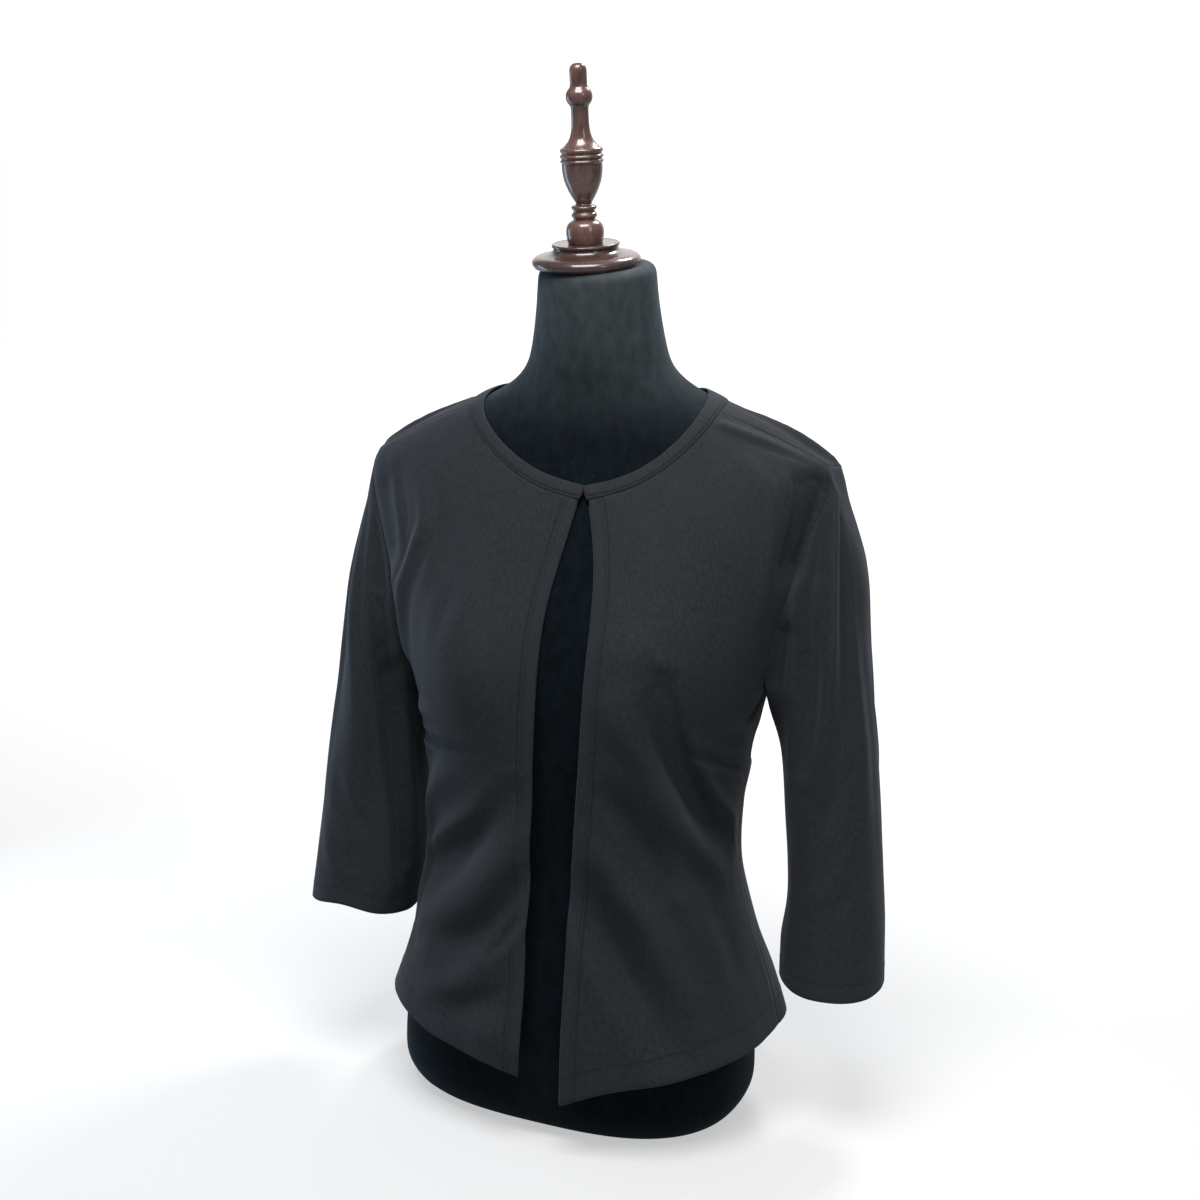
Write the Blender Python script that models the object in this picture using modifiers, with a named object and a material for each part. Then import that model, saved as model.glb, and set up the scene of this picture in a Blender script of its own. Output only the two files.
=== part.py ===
"""A collarless cardigan on a limbless velvet dress form with a turned wooden neck cap.

Sizes below are in centimetres and degrees, and the meshes are in metres. The form's flat
underside is at z = 0 round the origin. The front faces -Y, and +X is the wearer's left.
A place on the figure is given by its height and its angle round the body: 0 is the middle of
the front, 90 the wearer's left side and 180 the middle of the back.
"""

import math

import bmesh
import bpy
import numpy as np

CM = 0.01

CLOTH_WALL = 0.15
BINDING_WALL = 0.24
CLOTH_LIFT = 0.08
SEAM_GAP = 0.03
NECK_SEAM_GAP = 0.05
ARMHOLE_GAP = 0.06
UNDERARM_EASE = 0.3
MERGE_DISTANCE = 0.0001
LATHE_MERGE = 0.00001
SHARP_ANGLE = 40.0

UNDERARM_Z = 38.4
FRONT_MIDDLE = 3.0
SHOULDER_SEAM_AT_NECK = 60.0
BASE_FILLET = 3.5
NECK_FILLET = 0.8
NECK_TOP_Z = 73.75
NECK_TILT = 11.0
NECK_LEANS_FROM_Z = 66.0
NECK_LEAN_SPAN = NECK_TOP_Z - NECK_FILLET - NECK_LEANS_FROM_Z
CHEST_ROWS_FROM_Z = UNDERARM_Z - 0.6

# The closed neck stands this far off the chest, over this many degrees and centimetres.
CLOSURE_LIFT = 0.16
CLOSURE_Z = 55.2
CLOSURE_DEGREES = 12.0
CLOSURE_HEIGHT = 3.0

# The binding's crown, from the seam to its free edge, and the hook plate behind its ends.
BINDING_ACROSS = (0.0, 0.33, 0.67, 1.0)
BINDING_CROWN = (0.0, 0.04, 0.04, 0.02)
HOOK_DEGREES = (-2.2, -1.1, 0.0, 1.1, 2.2)
HOOK_HEIGHTS = (55.1, 55.45)
HOOK_DEPTH = 0.18
HOOK_WALL = 0.1

# The dress form, a row for each level: half its width, how far its front, its back and its
# widest line lie from the origin, how far it leans aside, how square it is, and how far it is
# turned round its middle.
FORM_COLUMNS = ("z", "half_width", "front", "back", "middle", "aside", "squareness", "turn")
FORM_ROWS = (
    (0.0, 16.3, -10.5, 11.0, 0.2, -0.2, 2.45, -7.0),
    (5.0, 16.3, -10.6, 11.1, 0.2, -0.2, 2.45, -7.0),
    (11.0, 15.7, -10.6, 11.3, 0.2, -0.1, 2.3, -4.5),
    (17.0, 14.1, -9.7, 9.6, 0.0, 0.0, 2.25, -1.5),
    (23.0, 12.5, -8.9, 7.6, -0.3, 0.0, 2.2, 0.0),
    (30.0, 13.0, -9.6, 8.4, 0.0, 0.0, 2.2, 0.0),
    (38.0, 14.8, -10.3, 10.0, 0.6, 0.0, 2.25, 0.0),
    (44.0, 16.5, -9.9, 11.0, 1.4, 0.0, 2.3, 0.0),
    (50.0, 18.2, -8.6, 11.0, 2.2, 0.0, 2.3, 0.0),
    (54.0, 19.5, -7.2, 10.4, 2.7, 0.0, 2.2, 0.0),
    (56.4, 20.0, -6.1, 9.6, 2.8, 0.0, 2.1, 0.0),
    (57.8, 19.5, -5.5, 8.9, 2.8, 0.0, 2.0, 0.0),
    (59.0, 18.0, -5.0, 8.4, 2.7, 0.0, 2.0, 0.0),
    (60.6, 15.1, -4.4, 7.8, 2.5, 0.0, 2.0, 0.0),
    (62.4, 11.0, -3.9, 7.3, 2.2, 0.2, 2.0, 0.0),
    (63.7, 8.2, -3.9, 6.9, 1.7, 0.3, 2.0, 0.0),
    (65.5, 6.3, -4.3, 6.4, 1.1, 0.25, 2.0, 0.0),
    (68.5, 5.5, -4.9, 5.8, 0.4, 0.3, 2.0, 0.0),
    (71.5, 5.05, -5.6, 4.5, -0.6, 0.45, 2.0, 0.0),
    (74.4, 4.9, -6.3, 3.6, -1.3, 0.6, 2.0, 0.0),
)

# The form's foot stands a little to the right of the cloth that hangs round it.
FOOT_ASIDE = -0.6
FOOT_ASIDE_FULL_Z = 8.0
FOOT_ASIDE_END_Z = 15.0

# Spans of the form's height with the number of rings in each.
RING_SPANS = ((3.5, 53.0, 18), (53.0, 66.0, 14), (66.0, 72.95, 5))

# Soft mounds on the figure: how high, where, and how wide each way. The front one is the bust,
# and the other is the shoulder blade.
MOUND_COLUMNS = ("height", "x", "z", "spread_x", "spread_z", "front")
MOUND_ROWS = (
    (2.5, 8.2, 40.8, 4.0, 4.6, True),
    (0.7, 8.0, 47.0, 4.5, 6.0, False),
)

# How far the cloth stands away from the form at its side, front and back.
EASE_COLUMNS = ("z", "side", "front", "back")
EASE_ROWS = (
    (4.5, 2.3, 2.2, 2.2),
    (9.0, 1.7, 2.0, 1.7),
    (14.0, 1.0, 1.8, 0.9),
    (22.0, 1.1, 1.7, 1.1),
    (30.0, 0.7, 1.3, 1.0),
    (38.4, 0.5, 0.5, 0.4),
    (44.0, 0.6, 0.3, 0.1),
    (50.0, 0.9, 0.1, 0.1),
    (55.0, 1.0, 0.0, 0.15),
    (57.4, 0.9, 0.0, 0.15),
    (58.6, 0.35, 0.0, 0.15),
    (60.0, 0.1, 0.0, 0.15),
    (62.0, 0.1, 0.05, 0.15),
    (64.0, 0.25, 0.2, 0.2),
)

# The largest folds in the panels, each along a line on the figure: how far it stands out (or
# goes in, below zero) and how wide it is.
FOLD_END = 0.4
FOLD_COLUMNS = ("from_angle", "from_z", "to_angle", "to_z", "height", "spread")
FOLD_ROWS = (
    (-12.0, 32.0, -60.0, 18.0, -0.4, 1.5),
    (-14.0, 29.0, -50.0, 15.5, 0.35, 1.4),
    (31.0, 41.0, 45.0, 30.5, -0.4, 1.5),
    (45.0, 30.5, 64.0, 26.5, -0.35, 1.5),
    (22.0, 29.0, 40.0, 22.5, -0.35, 1.8),
    (10.0, 21.5, 32.0, 11.5, -0.45, 2.0),
    (36.0, 33.0, 53.0, 17.5, 0.4, 1.5),
    (78.0, 61.6, 90.0, 58.6, 0.3, 0.9),
    (100.0, 61.4, 104.0, 57.6, 0.3, 0.9),
    (126.0, 60.6, 116.0, 55.0, 0.25, 1.2),
    (-118.0, 61.0, -110.0, 56.0, 0.25, 1.3),
    (118.0, 31.0, 158.0, 25.0, 0.3, 1.5),
    (-112.0, 28.0, -150.0, 22.5, -0.3, 1.5),
    (150.0, 20.0, 128.0, 12.0, 0.35, 2.0),
    (-168.0, 19.0, -146.0, 10.5, 0.35, 2.0),
)

# Width of the figure's surface for one degree round it, for the folds.
DEGREE_WIDTH = 0.24

# The two front edges, by their distance from the middle plane at each height.
EDGE_COLUMNS = ("z", "left", "right")
EDGE_ROWS = (
    (4.5, 1.7, -2.2),
    (12.0, 1.7, -1.95),
    (21.0, 1.7, -2.0),
    (27.0, 2.0, -1.8),
    (33.0, 2.5, -1.55),
    (39.5, 3.0, -1.3),
    (46.0, 3.2, -0.9),
    (51.0, 2.8, 0.1),
    (54.7, 1.85, 0.95),
)

# The hem's height, from the front edge or the middle of the back (share 0) to the side seam.
HEM_COLUMNS = ("share", "left", "right", "back")
HEM_ROWS = (
    (0.0, 4.9, 6.8, 8.6),
    (0.12, 6.5, 7.6, 8.6),
    (0.35, 7.6, 8.5, 8.7),
    (0.6, 8.5, 9.3, 8.9),
    (1.0, 9.2, 9.2, 9.2),
)

# The neckline, by the angle from its own middle: the seam under the binding and its free edge.
NECKLINE_COLUMNS = ("angle", "seam", "edge")
NECKLINE_ROWS = (
    (0.0, 54.7, 55.8),
    (8.0, 55.4, 56.5),
    (15.0, 56.6, 57.6),
    (22.0, 57.9, 58.8),
    (33.0, 59.6, 60.35),
    (47.0, 61.0, 61.65),
    (60.0, 61.8, 62.4),
    (76.0, 62.3, 63.0),
    (90.0, 62.5, 63.25),
    (110.0, 62.5, 63.4),
    (135.0, 62.1, 63.2),
    (180.0, 61.6, 62.75),
)

# Where each end of the binding stops, from its seam to its free edge: the low corner is rounded.
BINDING_END_ANGLES = (0.7, 0.3, 0.15, 0.12)

# The armhole seam from the underarm (share 0) to the shoulder seam (share 1).
ARMHOLE_COLUMNS = ("share", "front_angle", "front_z", "back_angle", "back_z")
ARMHOLE_ROWS = (
    (0.0, 90.0, 38.4, 90.0, 38.4),
    (0.1, 80.0, 39.4, 101.0, 39.6),
    (0.25, 74.0, 42.2, 108.0, 42.8),
    (0.45, 71.0, 46.4, 112.0, 47.4),
    (0.65, 70.0, 50.6, 111.0, 51.6),
    (0.85, 72.0, 54.8, 104.0, 55.8),
    (0.95, 75.0, 56.8, 91.0, 57.6),
    (1.0, 76.0, 57.6, 76.0, 57.6),
)

# The sleeve as a tube that hangs from the shoulder, by its middle and half its sizes.
SLEEVE_COLUMNS = ("z", "left_x", "right_x", "middle_y", "left_half", "right_half", "half_y")
SLEEVE_ROWS = (
    (13.5, 22.45, 21.9, -1.0, 4.1, 4.35, 4.9),
    (20.0, 22.2, 21.3, 0.2, 3.95, 4.7, 5.0),
    (28.0, 21.5, 20.9, 1.5, 3.9, 4.35, 5.2),
    (36.0, 20.6, 20.1, 2.4, 3.95, 4.2, 5.5),
    (44.0, 19.5, 19.3, 2.9, 4.1, 4.2, 5.8),
    (52.0, 18.8, 18.7, 2.8, 4.35, 4.15, 5.9),
    (58.0, 17.5, 17.4, 2.5, 4.0, 4.0, 5.6),
)

# The largest folds in the sleeves: the way they face (0 is the wearer's left, 270 the front),
# the heights they run between, how far they stand out and how wide they are in degrees.
SLEEVE_FOLD_COLUMNS = ("facing", "low", "high", "height", "spread")
SLEEVE_FOLD_ROWS = {
    "left": (
        (238.0, 42.0, 57.0, 0.45, 15.0),
        (262.0, 38.0, 52.0, -0.35, 15.0),
        (285.0, 30.0, 50.0, 0.25, 18.0),
        (100.0, 34.0, 48.0, 0.35, 18.0),
        (40.0, 20.0, 40.0, -0.25, 22.0),
    ),
    "right": (
        (268.0, 20.0, 52.0, 0.45, 14.0),
        (292.0, 18.0, 44.0, -0.45, 15.0),
        (318.0, 16.0, 34.0, 0.35, 18.0),
        (130.0, 26.0, 46.0, -0.3, 22.0),
        (75.0, 34.0, 48.0, 0.3, 18.0),
    ),
}
SLEEVE_SQUARENESS = 2.15
CAP_SHARE = 0.26
CAP_POWER = 1.1

# The height of each cuff by the way it faces, round from the wearer's left.
CUFF_COLUMNS = ("facing", "left", "right")
CUFF_ROWS = (
    (0.0, 14.0, 15.2),
    (90.0, 14.3, 15.6),
    (180.0, 14.1, 16.0),
    (225.0, 13.9, 16.5),
    (270.0, 13.9, 16.9),
    (315.0, 13.9, 15.9),
    (360.0, 14.0, 15.2),
)

# The turned cap as radius and height, from the middle of its top to the middle of its underside.
CAP_PROFILE = (
    (0.0, 1.8),
    (2.45, 1.8),
    (2.7, 1.83),
    (2.8, 1.74),
    (2.8, 1.58),
    (2.66, 1.48),
    (2.74, 1.3),
    (2.98, 1.12),
    (3.35, 1.0),
    (3.75, 0.93),
    (4.12, 0.84),
    (4.38, 0.66),
    (4.5, 0.42),
    (4.42, 0.16),
    (4.15, 0.0),
    (0.0, 0.0),
)
CAP_X = -0.2
CAP_Y = -1.7

# The turned finial as radius and height, from its top down to the middle of its foot.
FINIAL_PROFILE = (
    (0.0, 13.99),
    (0.34, 13.95),
    (0.56, 13.8),
    (0.68, 13.51),
    (0.7, 12.83),
    (0.7, 12.26),
    (0.84, 12.06),
    (1.02, 11.77),
    (1.08, 11.44),
    (1.02, 11.1),
    (0.82, 10.81),
    (0.72, 10.52),
    (0.72, 9.65),
    (0.75, 8.97),
    (0.88, 8.44),
    (1.18, 7.91),
    (1.52, 7.58),
    (1.68, 7.43),
    (1.74, 7.26),
    (1.67, 7.1),
    (1.78, 6.91),
    (1.69, 6.72),
    (1.76, 6.52),
    (1.67, 6.33),
    (1.64, 5.79),
    (1.5, 4.92),
    (1.2, 4.1),
    (0.88, 3.52),
    (0.66, 3.2),
    (0.7, 3.07),
    (1.0, 2.94),
    (1.04, 2.78),
    (0.9, 2.62),
    (0.9, 2.46),
    (1.04, 2.32),
    (1.04, 2.12),
    (0.9, 1.97),
    (0.94, 1.81),
    (1.3, 1.66),
    (1.5, 1.3),
    (1.56, 0.82),
    (1.5, 0.29),
    (1.42, 0.0),
    (0.0, 0.0),
)

ROWS_BELOW_ARM = 13
ROWS_CHEST = 8
ROWS_NECK = 8
PANEL_COLUMNS = 12
SLEEVE_STEPS = 14
FORM_SEGMENTS = 36
TURNING_STEPS = 18

BLACK_JERSEY = ("black_jersey", (0.030, 0.032, 0.035), 0.85)
BLACK_VELVET = ("black_velvet", (0.008, 0.012, 0.014), 0.95)
MAHOGANY = ("mahogany", (0.10, 0.035, 0.025), 0.25)
DULL_METAL = ("hook_metal", (0.05, 0.05, 0.055), 0.4)


def column(rows, columns, name, at):
    """Reads one named column of a table as a smooth curve over its first column."""
    xs = np.array([row[0] for row in rows], float)
    ys = np.array([row[columns.index(name)] for row in rows], float)
    slopes = np.diff(ys) / np.diff(xs)
    tangents = np.concatenate(([slopes[0]], (slopes[:-1] + slopes[1:]) / 2, [slopes[-1]]))
    at = np.clip(np.asarray(at, float), xs[0], xs[-1])
    index = np.clip(np.searchsorted(xs, at, side="right") - 1, 0, len(xs) - 2)
    step = xs[index + 1] - xs[index]
    t = (at - xs[index]) / step
    return (
        (2 * t**3 - 3 * t**2 + 1) * ys[index]
        + (t**3 - 2 * t**2 + t) * step * tangents[index]
        + (3 * t**2 - 2 * t**3) * ys[index + 1]
        + (t**3 - t**2) * step * tangents[index + 1]
    )


def named(columns, rows):
    """The rows of a table as dictionaries by column name."""
    return [dict(zip(columns, row)) for row in rows]


def unit(vectors):
    return vectors / np.linalg.norm(vectors, axis=-1, keepdims=True)


def form_size(name, z):
    return column(FORM_ROWS, FORM_COLUMNS, name, z)


def body_point(angle, z, eased):
    """A point of the figure, or of the cloth that stands away from it by its ease."""
    angle, z = np.broadcast_arrays(np.radians(angle), np.asarray(z, float))
    wide, front, back = form_size("half_width", z), form_size("front", z), form_size("back", z)
    if eased:
        wide = wide + column(EASE_ROWS, EASE_COLUMNS, "side", z)
        front = front - column(EASE_ROWS, EASE_COLUMNS, "front", z)
        back = back + column(EASE_ROWS, EASE_COLUMNS, "back", z)
    power = 2 / form_size("squareness", z)
    across, along = np.sin(angle), np.cos(angle)
    middle = form_size("middle", z)
    x = wide * np.sign(across) * np.abs(across) ** power
    reach = np.abs(along) ** power
    y = middle + np.where(along > 0, front - middle, back - middle) * reach
    for mound in named(MOUND_COLUMNS, MOUND_ROWS):
        across_mound = (np.abs(x) - mound["x"]) / mound["spread_x"]
        up_mound = (z - mound["z"]) / mound["spread_z"]
        way = -1 if mound["front"] else 1
        facing = np.clip(-way * along, 0, 1) ** 0.5
        y = y + way * mound["height"] * np.exp(-(across_mound**2 + up_mound**2) / 2) * facing
    turn = np.radians(form_size("turn", z))
    turned_x = x * np.cos(turn) - y * np.sin(turn)
    turned_y = x * np.sin(turn) + y * np.cos(turn)
    return np.stack([turned_x + form_size("aside", z), turned_y, z], -1)


def angle_at(x, z):
    """The angle at which the front of the eased figure is x from the middle plane."""
    angles = np.linspace(-45, 45, 181)
    found = [np.interp(at, body_point(angles, height, True)[:, 0], angles) for at, height in zip(x, z)]
    return np.array(found)


def neck_lift(angle, z):
    """The neck's closure stands a little off the chest, which leaves room for its hook."""
    around = (angle - FRONT_MIDDLE) / CLOSURE_DEGREES
    upward = (z - CLOSURE_Z) / CLOSURE_HEIGHT
    return CLOSURE_LIFT * np.exp(-(around**2 + upward**2))


def folds(angle, z):
    """How far the largest folds move the cloth, which stays smooth at seams and edges."""
    angle, z = np.broadcast_arrays(np.asarray(angle, float), np.asarray(z, float))
    around = (angle + 180) % 360 - 180
    total = np.zeros(angle.shape)
    for fold in named(FOLD_COLUMNS, FOLD_ROWS):
        start = np.array([fold["from_angle"] * DEGREE_WIDTH, fold["from_z"]])
        along = np.array([fold["to_angle"] * DEGREE_WIDTH, fold["to_z"]]) - start
        here = np.stack([around * DEGREE_WIDTH, z], -1) - start
        share = np.clip(here @ along / (along @ along), 0, 1)
        away = np.linalg.norm(here - share[..., None] * along, axis=-1)
        fullness = FOLD_END + (1 - FOLD_END) * np.sin(np.pi * share)
        total = total + fold["height"] * np.exp(-((away / fold["spread"]) ** 2)) * fullness
    return total


def cloth_normal(angle, z):
    """The way the cloth faces."""
    step = 0.05
    around = body_point(angle + step, z, True) - body_point(angle - step, z, True)
    upward = body_point(angle, z + step, True) - body_point(angle, z - step, True)
    return unit(np.cross(around, upward))


def cloth_point(angle, z, lift=0.0):
    """A point of the cloth's inside face, lifted off the figure along its normal."""
    away = CLOTH_LIFT + neck_lift(angle, z) + folds(angle, z) + lift
    return body_point(angle, z, True) + cloth_normal(angle, z) * away[..., None]


def neckline(name, angle, side):
    """The neckline's angle and height; its front middle lies off the body's own middle."""
    shift = FRONT_MIDDLE * np.clip(1 - np.abs(angle) / 90, 0, 1)
    return side * angle + shift, column(NECKLINE_ROWS, NECKLINE_COLUMNS, name, angle)


def front_edge(side):
    """The front edge from the hem up to the neckline."""
    name = "left" if side > 0 else "right"
    low = column(HEM_ROWS, HEM_COLUMNS, name, 0.0)
    z = np.concatenate(
        (
            np.linspace(low, CHEST_ROWS_FROM_Z, ROWS_BELOW_ARM + 1)[:-1],
            np.linspace(CHEST_ROWS_FROM_Z, EDGE_ROWS[-1][0], ROWS_CHEST + 1),
        )
    )
    return angle_at(column(EDGE_ROWS, EDGE_COLUMNS, name, z), z), z


def neck_stations(side):
    """Angles along the front neckline, from the front edge to the shoulder seam."""
    start = abs(front_edge(side)[0][-1] - FRONT_MIDDLE)
    return np.linspace(start, SHOULDER_SEAM_AT_NECK, ROWS_NECK + 1)


def front_inner_edge(side):
    """The front edge from the hem up, then the neckline to the shoulder seam."""
    angle, z = front_edge(side)
    neck_angle, neck_z = neckline("seam", neck_stations(side), side)
    return np.concatenate((angle[:-1], neck_angle)), np.concatenate((z[:-1], neck_z))


def back_stations():
    """Angles along the back neckline, from the middle to the shoulder seam."""
    return np.linspace(180, SHOULDER_SEAM_AT_NECK, ROWS_NECK + 1)


def back_inner_edge(side):
    """The middle of the back from the hem up, then the neckline round to the shoulder seam."""
    low = column(HEM_ROWS, HEM_COLUMNS, "back", 0.0)
    neck_angle, neck_z = neckline("seam", back_stations(), side)
    z = np.concatenate(
        (
            np.linspace(low, UNDERARM_Z, ROWS_BELOW_ARM + 1)[:-1],
            np.linspace(UNDERARM_Z, neck_z[0], ROWS_CHEST + 1)[:-1],
        )
    )
    return np.concatenate((np.full(len(z), side * 180.0), neck_angle)), np.concatenate((z, neck_z))


def outer_edge(side, face):
    """The side seam, then the armhole up to the shoulder seam."""
    low = column(HEM_ROWS, HEM_COLUMNS, "back", 1.0)
    seam_z = np.linspace(low, UNDERARM_Z, ROWS_BELOW_ARM + 1)
    share = np.linspace(0, 1, ROWS_CHEST + ROWS_NECK + 1)[1:]
    angle = column(ARMHOLE_ROWS, ARMHOLE_COLUMNS, face + "_angle", share)
    z = column(ARMHOLE_ROWS, ARMHOLE_COLUMNS, face + "_z", share)
    return (
        side * np.concatenate((np.full(len(seam_z), 90.0), angle)),
        np.concatenate((seam_z, z)),
    )


def panel_points(inner, outer, hem_name):
    """Points over a panel, rows from the hem up and columns from the middle out."""
    share = np.linspace(0, 1, PANEL_COLUMNS + 1)
    angle = inner[0][:, None] + (outer[0] - inner[0])[:, None] * share
    z = inner[1][:, None] + (outer[1] - inner[1])[:, None] * share
    droop = column(HEM_ROWS, HEM_COLUMNS, hem_name, share) - z[0]
    fade = np.clip(1 - np.arange(len(z)) / ROWS_BELOW_ARM, 0, 1)[:, None]
    points = cloth_point(angle, z + droop * fade)
    return trim(points)


def trim(points):
    """Takes the seam gaps off a panel's side, armhole, neckline and shoulder."""
    trimmed = points.copy()
    neck_row = ROWS_BELOW_ARM + ROWS_CHEST
    trimmed[:, -1] += unit(points[:, -2] - points[:, -1]) * SEAM_GAP
    neck = points[neck_row:, 0]
    along = unit(np.gradient(neck, axis=0))
    inward = points[neck_row:, 1] - neck
    inward = inward - np.sum(inward * along, axis=-1, keepdims=True) * along
    trimmed[neck_row:, 0] += unit(inward) * NECK_SEAM_GAP
    trimmed[-1] += unit(points[-2] - points[-1]) * SEAM_GAP
    return trimmed


def material(look):
    name, colour, roughness = look
    found = bpy.data.materials.get(name)
    if found:
        return found
    made = bpy.data.materials.new(name)
    made.use_nodes = True
    shader = made.node_tree.nodes["Principled BSDF"]
    shader.inputs["Base Color"].default_value = (*colour, 1)
    shader.inputs["Roughness"].default_value = roughness
    shader.inputs["Metallic"].default_value = 1 if look is DULL_METAL else 0
    return made


def place(name, mesh, look, collection):
    obj = bpy.data.objects.new(name, mesh)
    mesh.materials.append(material(look))
    mesh.shade_smooth()
    mesh.set_sharp_from_angle(angle=math.radians(SHARP_ANGLE))
    collection.objects.link(obj)
    return obj


def grid_mesh(points, closed_round=False, turned_over=False):
    """An open surface through a grid of points."""
    rows, columns = points.shape[:2]
    faces = []
    for row in range(rows - 1):
        for step in range(columns if closed_round else columns - 1):
            after = (step + 1) % columns
            near, far = row * columns, (row + 1) * columns
            face = (near + step, near + after, far + after, far + step)
            faces.append(face[::-1] if turned_over else face)
    mesh = bpy.data.meshes.new("grid")
    mesh.from_pydata((points.reshape(-1, 3) * CM).tolist(), [], faces)
    mesh.update()
    return mesh


def thicken(obj, wall, even=True):
    """Cloth grows outward from its inside face, evenly unless its rim is folded under."""
    solidify = obj.modifiers.new("cloth", "SOLIDIFY")
    solidify.thickness = wall * CM
    solidify.offset = 1.0
    solidify.use_even_offset = even


def make_front(side, collection):
    name = "left" if side > 0 else "right"
    points = panel_points(front_inner_edge(side), outer_edge(side, "front"), name)
    mesh = grid_mesh(points, turned_over=side < 0)
    thicken(place("front_" + name, mesh, BLACK_JERSEY, collection), CLOTH_WALL)


def make_back(collection):
    """Both halves of the back, joined down the middle."""
    shape = bmesh.new()
    for side in (-1, 1):
        points = panel_points(back_inner_edge(side), outer_edge(side, "back"), "back")
        shape.from_mesh(grid_mesh(points, turned_over=side > 0))
    bmesh.ops.remove_doubles(shape, verts=shape.verts, dist=MERGE_DISTANCE)
    mesh = bpy.data.meshes.new("back")
    shape.to_mesh(mesh)
    shape.free()
    thicken(place("back", mesh, BLACK_JERSEY, collection), CLOTH_WALL)


def armhole_stations(side):
    """Angles and heights of the armhole seam, from the underarm up the front and down the back."""
    front_angle, front_z = outer_edge(side, "front")
    back_angle, back_z = outer_edge(side, "back")
    front, back = slice(ROWS_BELOW_ARM, None), slice(ROWS_BELOW_ARM + 1, -1)
    angle = np.concatenate((front_angle[front], back_angle[back][::-1]))
    return angle, np.concatenate((front_z[front], back_z[back][::-1]))


def sleeve_start(side, below):
    """The sleeve's first row, raised where it would run into the panels' thickness."""
    angle, z = armhole_stations(side)
    edge, facing = cloth_point(angle, z), cloth_normal(angle, z)
    along = unit(np.roll(edge, -1, axis=0) - np.roll(edge, 1, axis=0))
    outward = side * np.cross(along, facing)
    away = below - edge
    away = unit(away - np.sum(away * along, axis=-1, keepdims=True) * along)
    rise, flat = np.sum(away * facing, axis=-1), np.sum(away * outward, axis=-1)
    folded = np.clip(rise / UNDERARM_EASE, 0, 1)
    lift = folded * (CLOTH_WALL * (1 - flat) + ARMHOLE_GAP)
    lift = (np.roll(lift, 1) + 2 * lift + np.roll(lift, -1)) / 4
    return edge + away * ARMHOLE_GAP + facing * np.maximum(lift, folded * CLOTH_WALL)[:, None]


def sleeve_points(side):
    """The sleeve's inside face, rows from the armhole to the cuff."""
    name = "left" if side > 0 else "right"
    loop = cloth_point(*armhole_stations(side))
    turn = np.radians(180 + 360 * np.arange(len(loop)) / len(loop))
    power = 2 / SLEEVE_SQUARENESS
    out_x = np.sign(np.cos(turn)) * np.abs(np.cos(turn)) ** power
    out_y = np.sign(np.sin(turn)) * np.abs(np.sin(turn)) ** power
    facing = np.degrees(np.arctan2(out_y, side * out_x)) % 360
    cuff = column(CUFF_ROWS, CUFF_COLUMNS, name, facing)
    rows = []
    for drop in np.linspace(0, 1, SLEEVE_STEPS + 1):
        z = loop[:, 2] + (cuff - loop[:, 2]) * drop
        blend = math.sin(math.radians(90) * min(drop / CAP_SHARE, 1)) ** CAP_POWER
        size = {key: column(SLEEVE_ROWS, SLEEVE_COLUMNS, key, z) for key in SLEEVE_COLUMNS[1:]}
        swell = np.zeros(len(loop))
        for fold in named(SLEEVE_FOLD_COLUMNS, SLEEVE_FOLD_ROWS[name]):
            off = (facing - fold["facing"] + 180) % 360 - 180
            run = np.clip((z - fold["low"]) / (fold["high"] - fold["low"]), 0, 1)
            swell += fold["height"] * np.exp(-((off / fold["spread"]) ** 2)) * np.sin(np.pi * run)
        x = side * (size[name + "_x"] + (size[name + "_half"] + swell) * out_x)
        y = size["middle_y"] + (size["half_y"] + swell) * out_y
        point = loop * (1 - blend) + np.stack([x, y, z], -1) * blend
        point[:, 2] = z
        rows.append(point)
    points = np.array(rows)
    points[0] = sleeve_start(side, points[1])
    return points


def make_sleeve(side, collection):
    mesh = grid_mesh(sleeve_points(side), closed_round=True, turned_over=side > 0)
    name = "sleeve_left" if side > 0 else "sleeve_right"
    thicken(place(name, mesh, BLACK_JERSEY, collection), CLOTH_WALL, even=False)


def make_binding(collection):
    """One turned strip from the right end at the front, round the back, to the left end."""
    across = np.array(BINDING_ACROSS)
    crown = np.array(BINDING_CROWN)
    halves = {}
    for side in (-1, 1):
        along = np.concatenate(([0.0], neck_stations(side), back_stations()[:-1][::-1]))
        along = np.repeat(along[:, None], len(across), axis=1)
        along[0] = BINDING_END_ANGLES
        seam, edge = neckline("seam", along, side), neckline("edge", along, side)
        angle = seam[0] + (edge[0] - seam[0]) * across
        z = seam[1] + (edge[1] - seam[1]) * across
        halves[side] = cloth_point(angle, z, crown)
    points = np.concatenate((halves[-1], halves[1][:-1][::-1]))
    mesh = grid_mesh(points)
    thicken(place("neck_binding", mesh, BLACK_JERSEY, collection), BINDING_WALL)


def make_hook(collection):
    """The flat hook and eye behind the two ends of the binding."""
    angle = FRONT_MIDDLE + np.array(HOOK_DEGREES)
    z = np.array(HOOK_HEIGHTS)
    points = cloth_point(angle[None, :], z[:, None], -HOOK_DEPTH)
    thicken(place("neck_hook", grid_mesh(points), DULL_METAL, collection), HOOK_WALL)


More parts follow.
